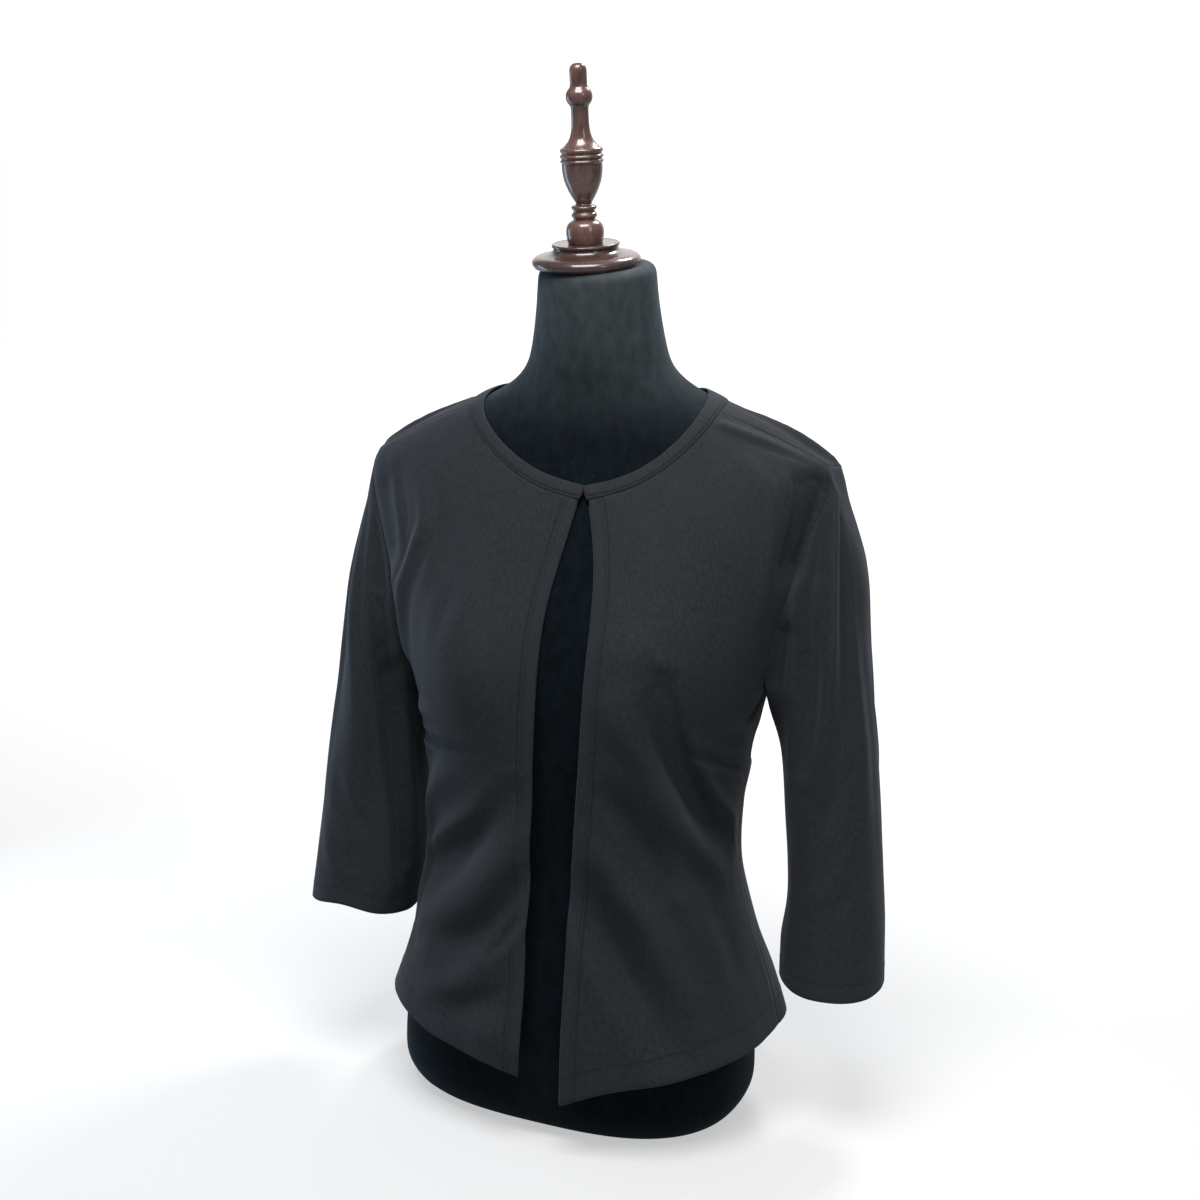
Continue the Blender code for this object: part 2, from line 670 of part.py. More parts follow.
def make_form(collection):
    """The velvet torso and neck: rings from the rounded bottom edge to the rounded top."""
    turn = np.radians(np.linspace(0, 90, 7))
    low = [(z, BASE_FILLET * (1 - s)) for z, s in zip(BASE_FILLET * (1 - np.cos(turn)), np.sin(turn))]
    between = [
        (z, 0.0)
        for start, stop, count in RING_SPANS
        for z in np.linspace(start, stop, count, endpoint=stop == RING_SPANS[-1][1])
    ]
    high = [
        (NECK_TOP_Z - NECK_FILLET * (1 - s), NECK_FILLET * (1 - c))
        for s, c in zip(np.sin(turn[2::2]), np.cos(turn[2::2]))
    ]
    angle = np.linspace(0, 360, FORM_SEGMENTS, endpoint=False)
    rings = []
    for z, inset in low[:-1] + between + high:
        ring = body_point(angle, z, False)
        middle = np.array([form_size("aside", z), form_size("middle", z), z])
        reach = np.linalg.norm(ring - middle, axis=-1, keepdims=True)
        ring = middle + (ring - middle) * (1 - inset / reach)
        foot = (FOOT_ASIDE_END_Z - z) / (FOOT_ASIDE_END_Z - FOOT_ASIDE_FULL_Z)
        ring[:, 0] += FOOT_ASIDE * np.clip(foot, 0, 1)
        lean = np.clip((z - NECK_LEANS_FROM_Z) / NECK_LEAN_SPAN, 0, 1)
        ring[:, 2] += lean * (ring[:, 1] - middle[1]) * math.tan(math.radians(NECK_TILT))
        rings.append(ring)
    mesh = grid_mesh(np.array(rings), closed_round=True)
    shape = bmesh.new()
    shape.from_mesh(mesh)
    bmesh.ops.holes_fill(shape, edges=[edge for edge in shape.edges if edge.is_boundary])
    bmesh.ops.recalc_face_normals(shape, faces=shape.faces)
    shape.to_mesh(mesh)
    shape.free()
    place("dress_form", mesh, BLACK_VELVET, collection)


def make_turned(name, profile, foot, collection):
    """A piece turned on the lathe, standing on the tilted top of the neck."""
    mesh = bpy.data.meshes.new(name)
    points = [(radius * CM, 0, height * CM) for radius, height in profile]
    mesh.from_pydata(points, [(step, step + 1) for step in range(len(points) - 1)], [])
    obj = place(name, mesh, MAHOGANY, collection)
    screw = obj.modifiers.new("lathe", "SCREW")
    screw.steps = screw.render_steps = TURNING_STEPS
    screw.use_merge_vertices = True
    screw.merge_threshold = LATHE_MERGE
    obj.location = [size * CM for size in foot]
    obj.rotation_euler = (math.radians(NECK_TILT), 0, 0)


def make_cap_and_finial(collection):
    tilt = math.radians(NECK_TILT)
    upright = np.array([0, -math.sin(tilt), math.cos(tilt)])
    top_middle = form_size("middle", NECK_TOP_Z)
    neck_z = NECK_TOP_Z + (CAP_Y - top_middle) * math.tan(tilt)
    seat = np.array([CAP_X, CAP_Y, neck_z]) + upright * SEAM_GAP
    make_turned("neck_cap", CAP_PROFILE, seat, collection)
    foot = seat + upright * (CAP_PROFILE[0][1] + SEAM_GAP)
    make_turned("finial", FINIAL_PROFILE, foot, collection)


def main():
    for obj in list(bpy.data.objects):
        bpy.data.objects.remove(obj)
    collection = bpy.data.collections.new("cardigan")
    bpy.context.scene.collection.children.link(collection)
    make_form(collection)
    make_cap_and_finial(collection)
    make_back(collection)
    for side in (1, -1):
        make_front(side, collection)
        make_sleeve(side, collection)
    make_binding(collection)
    make_hook(collection)


main()
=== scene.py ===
import math

import bmesh
import bpy
import numpy as np
from bpy.props import FloatProperty, FloatVectorProperty, PointerProperty
from mathutils import Matrix, Vector, noise
from mathutils.bvhtree import BVHTree
from mathutils.kdtree import KDTree


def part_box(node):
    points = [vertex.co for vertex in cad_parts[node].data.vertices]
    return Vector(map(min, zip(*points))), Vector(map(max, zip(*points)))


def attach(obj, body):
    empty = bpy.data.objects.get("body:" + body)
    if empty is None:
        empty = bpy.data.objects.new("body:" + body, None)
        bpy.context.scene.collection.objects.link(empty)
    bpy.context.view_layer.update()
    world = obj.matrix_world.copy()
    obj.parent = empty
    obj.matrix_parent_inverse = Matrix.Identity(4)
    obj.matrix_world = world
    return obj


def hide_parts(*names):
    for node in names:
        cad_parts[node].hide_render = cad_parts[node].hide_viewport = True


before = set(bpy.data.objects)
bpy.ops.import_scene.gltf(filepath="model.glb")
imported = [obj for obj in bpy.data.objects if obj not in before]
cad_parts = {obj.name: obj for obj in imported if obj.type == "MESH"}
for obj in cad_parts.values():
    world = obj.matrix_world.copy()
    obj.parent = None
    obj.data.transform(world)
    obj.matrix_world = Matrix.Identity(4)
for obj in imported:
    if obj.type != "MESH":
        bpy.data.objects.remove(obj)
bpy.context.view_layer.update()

bl_info = {
    "name": "Cardigan on a dress form",
    "version": (1, 0, 0),
    "blender": (4, 5, 0),
    "location": "View3D > Sidebar > Cardigan",
    "description": "Dresses the packed cardigan, its velvet form and its turned cap",
    "category": "Object",
}

# Lengths are in metres, except in the tables of places and folds, which are in centimetres and
# degrees. +X is the wearer's left and -Y is the front. A place on a panel is given by its angle
# round the body (0 is the middle of the front, 90 the left side) and its height. A place on a
# sleeve is given by its turn round the arm (0 faces away from the body, -90 the front).
CM = 0.01
MM = 0.001

MERGE = 2e-5
SHARP = math.radians(50)
FOLDED = math.radians(110)
THIN_FACE = 2.6 * MM
CLOTH_LEVELS = 3
BINDING_LEVELS = 3
FORM_LEVELS = 2

BODY_AXIS = (0.0, 0.5)
BODY_REACH = (16.5, 10.5)
DEGREE_WIDTH = 0.24
ARM_AXIS = (21.0, 1.5)
TURN_WIDTH = 0.088
TURN_ROUND = 360 * TURN_WIDTH

SLEEVE_AXIS = (0.21, 0.02)
FORM_AXIS = (0.0, 0.0)

CORNER = math.radians(35)
FORM_CLEARANCE = 0.5 * MM
FORM_NEAR = 0.03
RELAX_ROUNDS = 6
RELAX_SHARE = 0.5
SEAM_TUCK = 0.45 * MM
SEAM_REACH = 2.6 * MM
SEAM_CLOSED = 0.56
END_EASE = 9.0 * MM
CREASE_FADE = 8.0 * MM
SEAM_FOUND = 4.0 * MM

# A free edge counts as a hem or cuff where it lies this level and this low.
LEVEL_SLOPE = 0.8
HEMS_BELOW = 0.2

# The turned edge's extra thickness ends just past its line of stitches.
TURNED_END = 1.15
TURNED_EASE = 0.3

BINDING_CROWN = 0.4 * MM
BINDING_ROUND = 0.6
BINDING_SUNK = 0.3 * MM
BINDING_THICK = 1.9 * MM
BINDING_LINE = 2.8 * MM

# Each stitch is a capsule: places along it and how full it is there.
STITCH_RING = 6
STITCH_STATIONS = ((-0.5, 0.35), (-0.32, 0.95), (0.0, 1.0), (0.32, 0.95), (0.5, 0.35))
STITCH_SUNK = 0.1
STITCH_DIP = 0.6
STITCH_NEAR = 0.5 * MM
LAYING_STEPS = 4

WIRE_THICK = 0.25 * MM
WIRE_RING = 8

NECK_TILT = math.radians(11)
CAP_SEAT = (-0.2, -1.7, 73.64)
CAP_HEIGHT = 1.8
SEAM_GAP = 0.03
LATHE_STEPS = 96

PANELS = ("front_left", "front_right", "back")
SLEEVES = ("sleeve_left", "sleeve_right")

# Creases drawn into the cloth: depth and reach in millimetres. A depth below zero is a
# valley. The lean makes the fold steeper on one side than on the other.
CREASE_COLUMNS = ("depth", "reach", "lean", "path")
CREASES = {
    "front_right": (
        (-7.5, 13.0, 0.3, ((-10, 30.9), (-19, 27.5), (-30, 25.3), (-48, 22.8), (-64, 21.0))),
        (4.8, 12.0, 0.0, ((-30, 32.0), (-42, 30.2), (-56, 28.0), (-70, 24.6))),
        (6.5, 12.0, -0.2, ((-10, 27.2), (-16, 24.0), (-23, 21.1), (-34, 19.1), (-55, 16.6))),
        (-6.0, 10.0, 0.2, ((-9, 23.5), (-14, 20.4), (-22, 17.9), (-36, 15.5))),
        (-4.0, 3.6, 0.3, ((-9, 20.1), (-12, 18.2), (-16, 16.4))),
        (4.5, 10.0, 0.0, ((-14, 16.5), (-20, 14.5), (-27, 13.1), (-38, 12.2))),
        (-3.6, 10.0, 0.1, ((-10, 13.9), (-17, 12.3), (-30, 10.8))),
        (-2.4, 4.5, 0.3, ((-84, 33.0), (-60, 33.2), (-32, 33.7), (-19, 33.9))),
        (2.2, 7.0, 0.0, ((-80, 35.4), (-58, 35.8), (-36, 36.4))),
        (2.2, 11.0, 0.0, ((-60, 30.0), (-66, 22.0), (-64, 13.0))),
        (1.2, 4.5, 0.0, ((-84, 40.2), (-76, 38.9), (-68, 38.3))),
        (-1.2, 4.0, 0.0, ((-83, 38.6), (-75, 37.4), (-64, 37.0))),
        (-3.0, 6.5, 0.2, ((-72, 57.0), (-66, 54.6), (-60, 52.3), (-57, 49.6))),
        (3.4, 6.5, 0.2, ((-58, 55.6), (-51, 52.5), (-53, 49.1), (-57, 45.3), (-59, 40.8))),
        (-2.2, 7.5, 0.0, ((-55, 56.0), (-45, 52.6), (-39, 50.1), (-37, 47.0))),
        (-1.2, 8.0, 0.1, ((-34, 49.5), (-31, 46.3), (-30, 43.0))),
        (1.2, 8.0, 0.0, ((-26, 51.0), (-24, 47.0), (-24, 43.0))),
        (-1.2, 8.0, 0.0, ((-21, 50.5), (-18, 46.8), (-16, 42.7))),
    ),
    "front_left": (
        (-13.0, 12.0, -0.3, ((26, 41.2), (29, 36.6), (38, 32.4), (51, 28.9), (67, 26.7))),
        (-2.4, 4.0, 0.2, ((34, 35.4), (46, 34.0), (60, 33.0), (82, 31.5))),
        (6.5, 11.0, 0.2, ((17, 39.0), (21, 36.4), (30, 32.2), (42, 27.2), (58, 23.2))),
        (-7.0, 9.0, 0.1, ((16, 31.6), (20, 30.0), (27, 26.7), (35, 23.3))),
        (8.0, 10.0, 0.0, ((12, 27.8), (16, 25.4), (21, 22.8), (30, 19.2), (37, 14.0))),
        (-14.0, 12.0, 0.1, ((9, 23.0), (13, 20.4), (18, 17.6), (25, 13.6), (30, 9.6))),
        (4.4, 15.0, 0.0, ((36, 24.0), (42, 20.6), (47, 17.6), (51, 13.0))),
        (1.0, 7.0, 0.0, ((50, 36.8), (62, 35.6), (78, 34.6))),
        (1.8, 4.5, 0.0, ((83, 39.9), (74, 38.6), (66, 38.2))),
        (-2.0, 4.0, 0.0, ((82, 38.1), (74, 37.0), (64, 36.8))),
        (-3.4, 6.0, 0.2, ((78, 57.4), (77, 54.6), (74, 51.6), (70, 48.6))),
        (2.8, 6.5, 0.0, ((68, 58.0), (67, 54.4), (64, 50.0), (62, 46.0))),
        (-1.4, 9.0, 0.0, ((44, 52.5), (47, 48.0), (47, 43.5))),
        (1.2, 9.0, 0.0, ((30, 53.0), (28, 48.0), (26, 43.0))),
        (2.4, 5.5, 0.3, ((64, 61.8), (72, 60.9), (80, 59.7), (87, 58.4))),
    ),
    "back": (
        (-4.2, 9.0, 0.3, ((94, 33.4), (112, 32.6), (132, 33.4), (146, 35.0))),
        (3.4, 10.0, -0.2, ((96, 30.6), (118, 31.0), (140, 29.2), (158, 25.4))),
        (-3.6, 9.0, 0.2, ((108, 27.0), (128, 25.6), (146, 22.6), (158, 18.6))),
        (3.0, 12.0, 0.0, ((150, 20.0), (140, 16.0), (130, 12.0))),
        (-4.0, 9.0, -0.3, ((-94, 32.6), (-110, 33.2), (-130, 34.6))),
        (-3.8, 10.0, 0.2, ((-108, 28.4), (-126, 26.8), (-146, 23.2), (-160, 19.4))),
        (3.2, 11.0, 0.0, ((-104, 25.6), (-124, 23.0), (-142, 18.6))),
        (2.8, 12.0, 0.1, ((-168, 19.5), (-158, 15.0), (-147, 10.5))),
        (-2.4, 12.0, 0.0, ((172, 40.0), (168, 31.0), (173, 22.0))),
        (2.2, 14.0, 0.0, ((-176, 36.0), (-171, 27.5), (-179, 20.0))),
        (3.4, 5.0, 0.0, ((101, 62.0), (99, 60.4), (99, 58.8), (102, 56.6))),
        (2.6, 5.0, 0.1, ((114, 60.4), (113, 58.4), (111, 55.4))),
        (-3.2, 4.5, 0.0, ((108, 61.4), (107, 58.8), (107, 56.2))),
        (2.4, 5.5, 0.0, ((-104, 61.0), (-108, 58.6), (-108, 55.8))),
        (3.2, 5.5, 0.0, ((-99, 62.4), (-98, 60.8), (-98, 59.2), (-100, 57.4))),
        (-2.4, 5.5, 0.0, ((-116, 58.6), (-114, 54.8), (-110, 51.2))),
        (2.0, 4.5, 0.0, ((96, 40.0), (106, 38.6), (116, 38.0))),
        (-2.0, 4.2, 0.0, ((-96, 38.8), (-108, 37.2), (-118, 37.0))),
    ),
    "sleeve_left": (
        (5.0, 6.5, 0.2, ((-102, 55.4), (-93, 51.7), (-89, 46.7), (-86, 41.6), (-88, 36.0),
                         (-94, 31.0))),
        (-9.5, 8.5, 0.0, ((-122, 54.0), (-114, 50.0), (-109, 46.2), (-106, 42.6), (-106, 38.0),
                          (-112, 33.0))),
        (2.6, 5.0, 0.0, ((-130, 48.0), (-124, 45.3), (-124, 42.0), (-128, 38.6))),
        (-2.4, 9.0, -0.2, ((-62, 50.0), (-64, 43.0), (-60, 36.0))),
        (2.0, 9.0, 0.1, ((-44, 44.0), (-40, 35.0), (-48, 26.0))),
        (-2.2, 7.0, 0.2, ((-70, 33.0), (-84, 29.0), (-98, 26.4))),
        (1.8, 7.0, 0.0, ((-60, 27.0), (-76, 23.6), (-92, 21.4))),
        (-1.8, 6.0, 0.0, ((-112, 25.0), (-104, 20.0), (-106, 15.6))),
        (-2.8, 7.5, 0.2, ((20, 40.0), (34, 34.0), (60, 29.6))),
        (2.6, 8.0, 0.0, ((88, 52.0), (98, 44.0), (100, 36.0))),
        (-2.8, 8.0, 0.1, ((118, 48.0), (122, 40.0), (116, 32.0))),
        (-2.2, 7.0, 0.0, ((70, 30.0), (92, 27.4), (116, 26.6))),
        (1.8, 8.0, 0.0, ((40, 26.0), (52, 20.0), (46, 15.4))),
        (2.0, 5.0, 0.0, ((64, 57.6), (50, 58.4), (30, 57.6))),
        (-1.8, 4.5, 0.0, ((66, 55.4), (46, 55.8), (24, 54.6))),
    ),
    "sleeve_right": (
        (3.6, 4.0, 0.3, ((-112, 53.6), (-105, 48.0), (-104, 43.9), (-106, 40.3), (-114, 35.7),
                         (-118, 30.0), (-122, 26.3), (-124, 20.8), (-124, 17.0))),
        (-9.0, 10.0, 0.3, ((-124, 52.4), (-118, 48.0), (-117, 43.9), (-120, 40.3), (-128, 35.7),
                          (-132, 30.0), (-136, 26.3), (-138, 20.8))),
        (1.6, 4.0, 0.0, ((-106, 45.4), (-122, 44.6), (-133, 41.6), (-154, 36.2))),
        (-1.6, 4.0, 0.0, ((-118, 40.6), (-130, 38.0), (-150, 33.8), (-156, 29.9))),
        (1.8, 8.0, 0.2, ((-86, 52.0), (-82, 44.0), (-88, 36.0), (-94, 28.0), (-98, 20.0))),
        (-2.0, 9.0, 0.0, ((-58, 50.0), (-52, 41.0), (-60, 31.0))),
        (1.8, 9.0, 0.1, ((-36, 46.0), (-30, 36.0), (-38, 27.0))),
        (1.0, 5.0, 0.0, ((-142, 41.4), (-128, 39.6), (-114, 39.0))),
        (-1.0, 4.5, 0.0, ((-144, 39.6), (-128, 37.8), (-114, 37.4))),
        (0.8, 5.0, 0.0, ((-144, 37.4), (-130, 35.8), (-118, 35.4))),
        (-1.8, 7.0, 0.2, ((-66, 29.0), (-84, 25.6), (-102, 24.0))),
        (1.6, 6.5, 0.0, ((-58, 24.0), (-72, 20.6), (-88, 19.0))),
        (-2.8, 7.5, 0.2, ((24, 41.0), (40, 35.4), (64, 31.0))),
        (2.6, 8.0, 0.0, ((80, 50.0), (92, 42.0), (88, 34.0))),
        (-2.8, 8.0, 0.1, ((120, 47.0), (128, 38.0), (122, 30.0))),
        (2.0, 8.0, 0.0, ((44, 27.0), (60, 22.0), (52, 17.0))),
        (2.0, 5.0, 0.0, ((70, 57.0), (52, 58.0), (28, 57.0))),
    ),
}

# Beside a fold lies a faint opposite one. A fold starts and ends with less than its full depth.
SHOULDER_OF_FOLD = 0.3
SHOULDER_AT = 1.9
SHOULDER_WIDTH = 0.8
FOLD_AT_ENDS = 0.25
FOLD_ROUNDING = 0.8
POINTS_PER_BEND = 12

# The unevenness of all hanging cloth: how often it comes along X, Y and Z, and how high it is.
BROAD_WAVES = np.array((14.0, 14.0, 9.0))
BROAD_HEIGHT = 1.3
FINE_WAVES = np.array((62.0, 62.0, 24.0))
FINE_START = np.array((7.0, 0.0, 0.0))
FINE_HEIGHT = 0.4

# Places where the cloth is pushed aside, in centimetres: the pieces that move together, the line
# where they move, how wide, and how far.
PUSH_COLUMNS = ("pieces", "start", "end", "reach", "push")
PUSHES = (
    (("front_left", "sleeve_left", "back"), (19.3, -1.4, 55.8), (18.2, -2.6, 50.0), 1.5,
     (-0.3, 1.2, 0.0)),
    (("front_left", "sleeve_left", "back"), (17.6, -3.0, 44.0), (17.0, -2.4, 40.4), 1.1,
     (-0.1, 0.5, 0.0)),
    (("front_right", "sleeve_right", "back"), (-17.8, -2.6, 54.6), (-16.8, -4.2, 50.0), 1.4,
     (0.1, 0.5, 0.0)),
    (("front_right", "sleeve_right", "back"), (-15.8, -4.6, 46.5), (-15.4, -4.2, 41.0), 1.6,
     (-0.3, -0.45, 0.0)),
    (("front_right", "back"), (-13.6, -2.4, 31.5), (-13.4, -2.4, 20.0), 3.4, (-0.5, 0.0, 0.0)),
    (("front_left", "back"), (15.4, 1.0, 12.5), (16.0, 1.0, 9.5), 3.2, (0.55, 0.0, 0.0)),
    (("front_right",), (-2.6, -12.4, 9.0), (-5.0, -12.4, 9.6), 1.8, (0.1, -0.6, 0.0)),
    (("sleeve_right",), (-17.0, 0.6, 32.5), (-17.0, 1.6, 17.0), 3.0, (0.6, 0.0, 0.0)),
    (("sleeve_left",), (17.8, -0.6, 17.0), (17.6, -0.4, 13.5), 3.0, (-0.6, 0.0, 0.0)),
)

# The turned pieces as radius and height in centimetres, from the top down.
CAP_PROFILE = (
    (0.0, 1.8), (1.5, 1.8), (2.4, 1.8), (2.62, 1.83), (2.74, 1.82), (2.8, 1.76), (2.81, 1.66),
    (2.77, 1.57), (2.68, 1.5), (2.68, 1.42), (2.74, 1.3), (2.86, 1.19), (3.05, 1.09), (3.35, 1.0),
    (3.75, 0.93), (4.0, 0.88), (4.14, 0.83), (4.28, 0.75), (4.4, 0.64), (4.48, 0.5), (4.5, 0.4),
    (4.47, 0.26), (4.4, 0.14), (4.27, 0.04), (4.12, 0.0), (2.0, 0.0), (0.0, 0.0),
)
FINIAL_SCALE = 0.965
FINIAL_PROFILE = (
    (0.0, 14.5), (0.2, 14.49), (0.36, 14.45), (0.5, 14.36), (0.6, 14.24), (0.67, 14.08),
    (0.7, 13.9), (0.7, 13.3), (0.7, 12.8), (0.74, 12.62), (0.84, 12.48), (0.96, 12.32),
    (1.05, 12.12), (1.08, 11.85), (1.05, 11.6), (0.96, 11.38), (0.84, 11.22), (0.75, 11.08),
    (0.72, 10.9), (0.71, 10.4), (0.72, 9.9), (0.75, 9.35), (0.82, 8.95), (0.95, 8.55),
    (1.16, 8.22), (1.4, 7.96), (1.56, 7.84), (1.66, 7.78), (1.74, 7.68), (1.75, 7.56),
    (1.7, 7.46), (1.64, 7.4), (1.63, 7.34), (1.7, 7.28), (1.77, 7.2), (1.78, 7.12),
    (1.74, 7.04), (1.66, 6.98), (1.65, 6.92), (1.7, 6.86), (1.76, 6.78), (1.76, 6.7),
    (1.7, 6.62), (1.65, 6.56), (1.66, 6.3), (1.64, 5.9), (1.57, 5.4), (1.46, 4.95),
    (1.26, 4.42), (1.06, 4.0), (0.86, 3.64), (0.72, 3.42), (0.66, 3.31), (0.66, 3.24),
    (0.74, 3.17), (0.92, 3.11), (1.02, 3.04), (1.05, 2.94), (1.01, 2.83), (0.92, 2.74),
    (0.88, 2.65), (0.91, 2.54), (1.0, 2.45), (1.05, 2.34), (1.05, 2.24), (0.98, 2.12),
    (0.9, 2.04), (0.89, 1.97), (0.98, 1.9), (1.16, 1.8), (1.34, 1.65), (1.46, 1.45),
    (1.54, 1.15), (1.56, 0.82), (1.53, 0.5), (1.49, 0.25), (1.44, 0.08), (1.36, 0.0),
    (0.7, 0.0), (0.0, 0.0),
)

# The same wood is drawn darker on the cap, as painted shade, and lighter on the finial, as a painted
# highlight.
CAP_PAINTED_SHADE = 0.62
FINIAL_PAINTED_HIGHLIGHT = 1.25
GROOVE_WIDTH = 0.9 * MM
# Painted light: the velvet is drawn lighter from the first height up to the second, as if lit from
# above.
PAINTED_LIGHT_FROM_Z = 0.585
PAINTED_LIGHT_AT_Z = 0.72
SMOOTH = {"interpolation_type": "SMOOTHSTEP"}
VALUE = "NodeSocketFloat"
VECTOR = "NodeSocketVector"

# The hook's and the eye's wires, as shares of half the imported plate's width and height.
HOOK_WIRES = (
    ((-0.95, 0.7), (-0.6, 0.85), (-0.55, 0.3), (0.25, 0.25), (0.4, 0.0),
     (0.25, -0.25), (-0.55, -0.3), (-0.6, -0.85), (-0.95, -0.7)),
    ((0.95, 0.75), (0.6, 0.85), (0.55, 0.45), (0.2, 0.5), (0.1, 0.0),
     (0.2, -0.5), (0.55, -0.45), (0.6, -0.85), (0.95, -0.75)),
)

WORLD_SEEN = 0.95
WORLD_LIGHT = 0.21
WORLD_COLOUR = (0.74, 0.88, 1.0)
BACKDROP_GLOW = 0.50

CAMERA = {
    "azimuth": 16.315,
    "elevation": 10.5642,
    "roll": 0.7298,
    "distance": 1.36613,
    "aim": (0.0, 0.0, 0.45),
    "aside": 0.007852,
    "up": 0.00323,
    "focal_pixels": 1576.431,
    "picture_pixels": 1200,
}

# Each lamp: name, place, what it points at, size, watts and colour.
LAMPS = (
    ("overhead", (0.1, -0.72, 1.8), (0, 0, 0.45), (0.9, 0.7), 24.5, (1.0, 0.98, 0.95)),
    ("window", (1.3, -1.1, 1.3), (0, 0, 0.5), (0.35, 0.9), 3, (1, 1, 1)),
    ("side", (-0.9, 0.1, 0.5), (-0.2, 0, 0.4), (0.25, 0.8), 2.2, (0.50, 0.70, 1.0)),
    ("behind", (0.45, 0.95, 2.05), (0.1, 0, 0.6), (0.4, 0.5), 17, (1, 1, 1)),
    ("wall", (-0.7, 0.9, 2.6), (-0.9, 3.0, 2.0), (4.0, 0.5), 150, (1.0, 0.96, 0.93)),
)

# The backdrop: half its width, where the floor starts, and the sweep up into the wall.
BACKDROP_HALF = 5.0
FLOOR_FROM = -4.0
SWEEP_FROM = 1.8
SWEEP_RADIUS = 1.2
SWEEP_STEPS = 16
WALL_TOP = 5.0


def length(name, description, default):
    return FloatProperty(name=name, description=description, default=default, unit="LENGTH")


def colour(name, description, default):
    return FloatVectorProperty(
        name=name, description=description, default=default, subtype="COLOR", size=3, min=0, max=1,
    )


class CardiganCloth(bpy.types.PropertyGroup):
    """Sizes of the cloth and its sewing."""

    thickness: length("Cloth", "Thickness of one layer of the jersey", 1.2 * MM)
    turned_in: length("Turned in", "What a turned edge adds to the cloth's thickness", 0.7 * MM)
    edge_band: length("Front band", "How far the cloth is turned in along a front edge", 12.5 * MM)
    edge_stitches: length("Front stitches", "From a front edge to its line of stitches", 9.3 * MM)
    hem_band: length("Hem", "From the hem to its line of stitches", 20.0 * MM)
    cuff_band: length("Cuff", "From a cuff's edge to its line of stitches", 13.0 * MM)
    stitch_length: length("Stitch", "Length of one stitch", 2.5 * MM)
    stitch_pitch: length("Stitch pitch", "From one stitch to the next", 3.4 * MM)
    thread: length("Thread", "Thickness of the sewing thread", 0.4 * MM)


class CardiganFinish(bpy.types.PropertyGroup):
    """Colours of the cloth, the form and the wood."""

    jersey: colour("Jersey", "The cardigan's charcoal black", (0.0185, 0.0205, 0.0250))
    velvet: colour("Velvet", "The form's velvet", (0.0012, 0.0038, 0.0066))
    mahogany: colour("Mahogany", "The cap's and the finial's wood", (0.098, 0.050, 0.040))
    backdrop: colour("Backdrop", "The floor and the backdrop", (0.45, 0.45, 0.45))


def sizes():
    return bpy.context.scene.cardigan_cloth


def finishes():
    return bpy.context.scene.cardigan_finish


def unit(vectors):
    return vectors / np.maximum(np.linalg.norm(vectors, axis=-1, keepdims=True), 1e-12)


def smooth_path(points, count):
    """A smooth curve through a few points, as evenly numbered points."""
    given = np.array(points, float)
    ends = np.concatenate(([2 * given[0] - given[1]], given, [2 * given[-1] - given[-2]]))
    at = np.linspace(0, len(given) - 1 - 1e-9, count)
    index = at.astype(int)
    t = (at - index)[:, None]
    a, b, c, d = (ends[index + step] for step in range(4))
    return 0.5 * (
        2 * b + (c - a) * t + (2 * a - 5 * b + 4 * c - d) * t**2 + (3 * b - a - 3 * c + d) * t**3
    )


def fresh_object(name, mesh):
    obj = bpy.data.objects.new(name, mesh)
    bpy.context.scene.collection.objects.link(obj)
    return obj


def meshed(name, points, faces):
    """A smooth piece from its points and faces."""
    mesh = bpy.data.meshes.new(name)
    mesh.from_pydata([tuple(point) for point in points], [], faces)
    mesh.shade_smooth()
    return fresh_object(name, mesh)


def settle(piece, material, node=None):
    """Gives a piece its finish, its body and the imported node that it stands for."""
    piece.data.materials.append(material)
    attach(piece, "root")
    if node:
        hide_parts(node)


def quads_between(rows, ring):
    """The faces of a tube of rings, each ring's points in turn."""
    steps = [(row * ring, step) for row in range(rows - 1) for step in range(ring)]
    return [
        (at + step, at + (step + 1) % ring, at + ring + (step + 1) % ring, at + ring + step)
        for at, step in steps
    ]


def packed_shape(node):
    """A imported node's mesh with its corners joined."""
    shape = bmesh.new()
    shape.from_mesh(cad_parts[node].data)
    bmesh.ops.remove_doubles(shape, verts=shape.verts, dist=MERGE)
    return shape


def islands_of(shape, thin):
    """Groups of faces that a sharp edge or a change from wide to thin faces parts."""
    wide = {face: min(edge.calc_length() for edge in face.edges) > thin for face in shape.faces}
    groups, seen = [], set()
    for first in shape.faces:
        if first in seen:
            continue
        seen.add(first)
        group, waiting = [], [first]
        while waiting:
            face = waiting.pop()
            group.append(face)
            for edge in face.edges:
                for other in edge.link_faces:
                    sharp = edge.calc_face_angle(0) > (FOLDED if thin else SHARP)
                    if other in seen or wide[other] != wide[face] or sharp:
                        continue
                    seen.add(other)
                    waiting.append(other)
        groups.append(group)
    return groups


def keep_corners(shape):
    """Marks the corners of the rim, so that smoothing leaves them sharp."""
    crease = shape.verts.layers.float.new("crease_vert")
    for vert in shape.verts:
        ways = [edge.other_vert(vert).co - vert.co for edge in vert.link_edges if edge.is_boundary]
        if len(ways) == 2 and math.pi - ways[0].angle(ways[1]) > CORNER:
            vert[crease] = 1.0


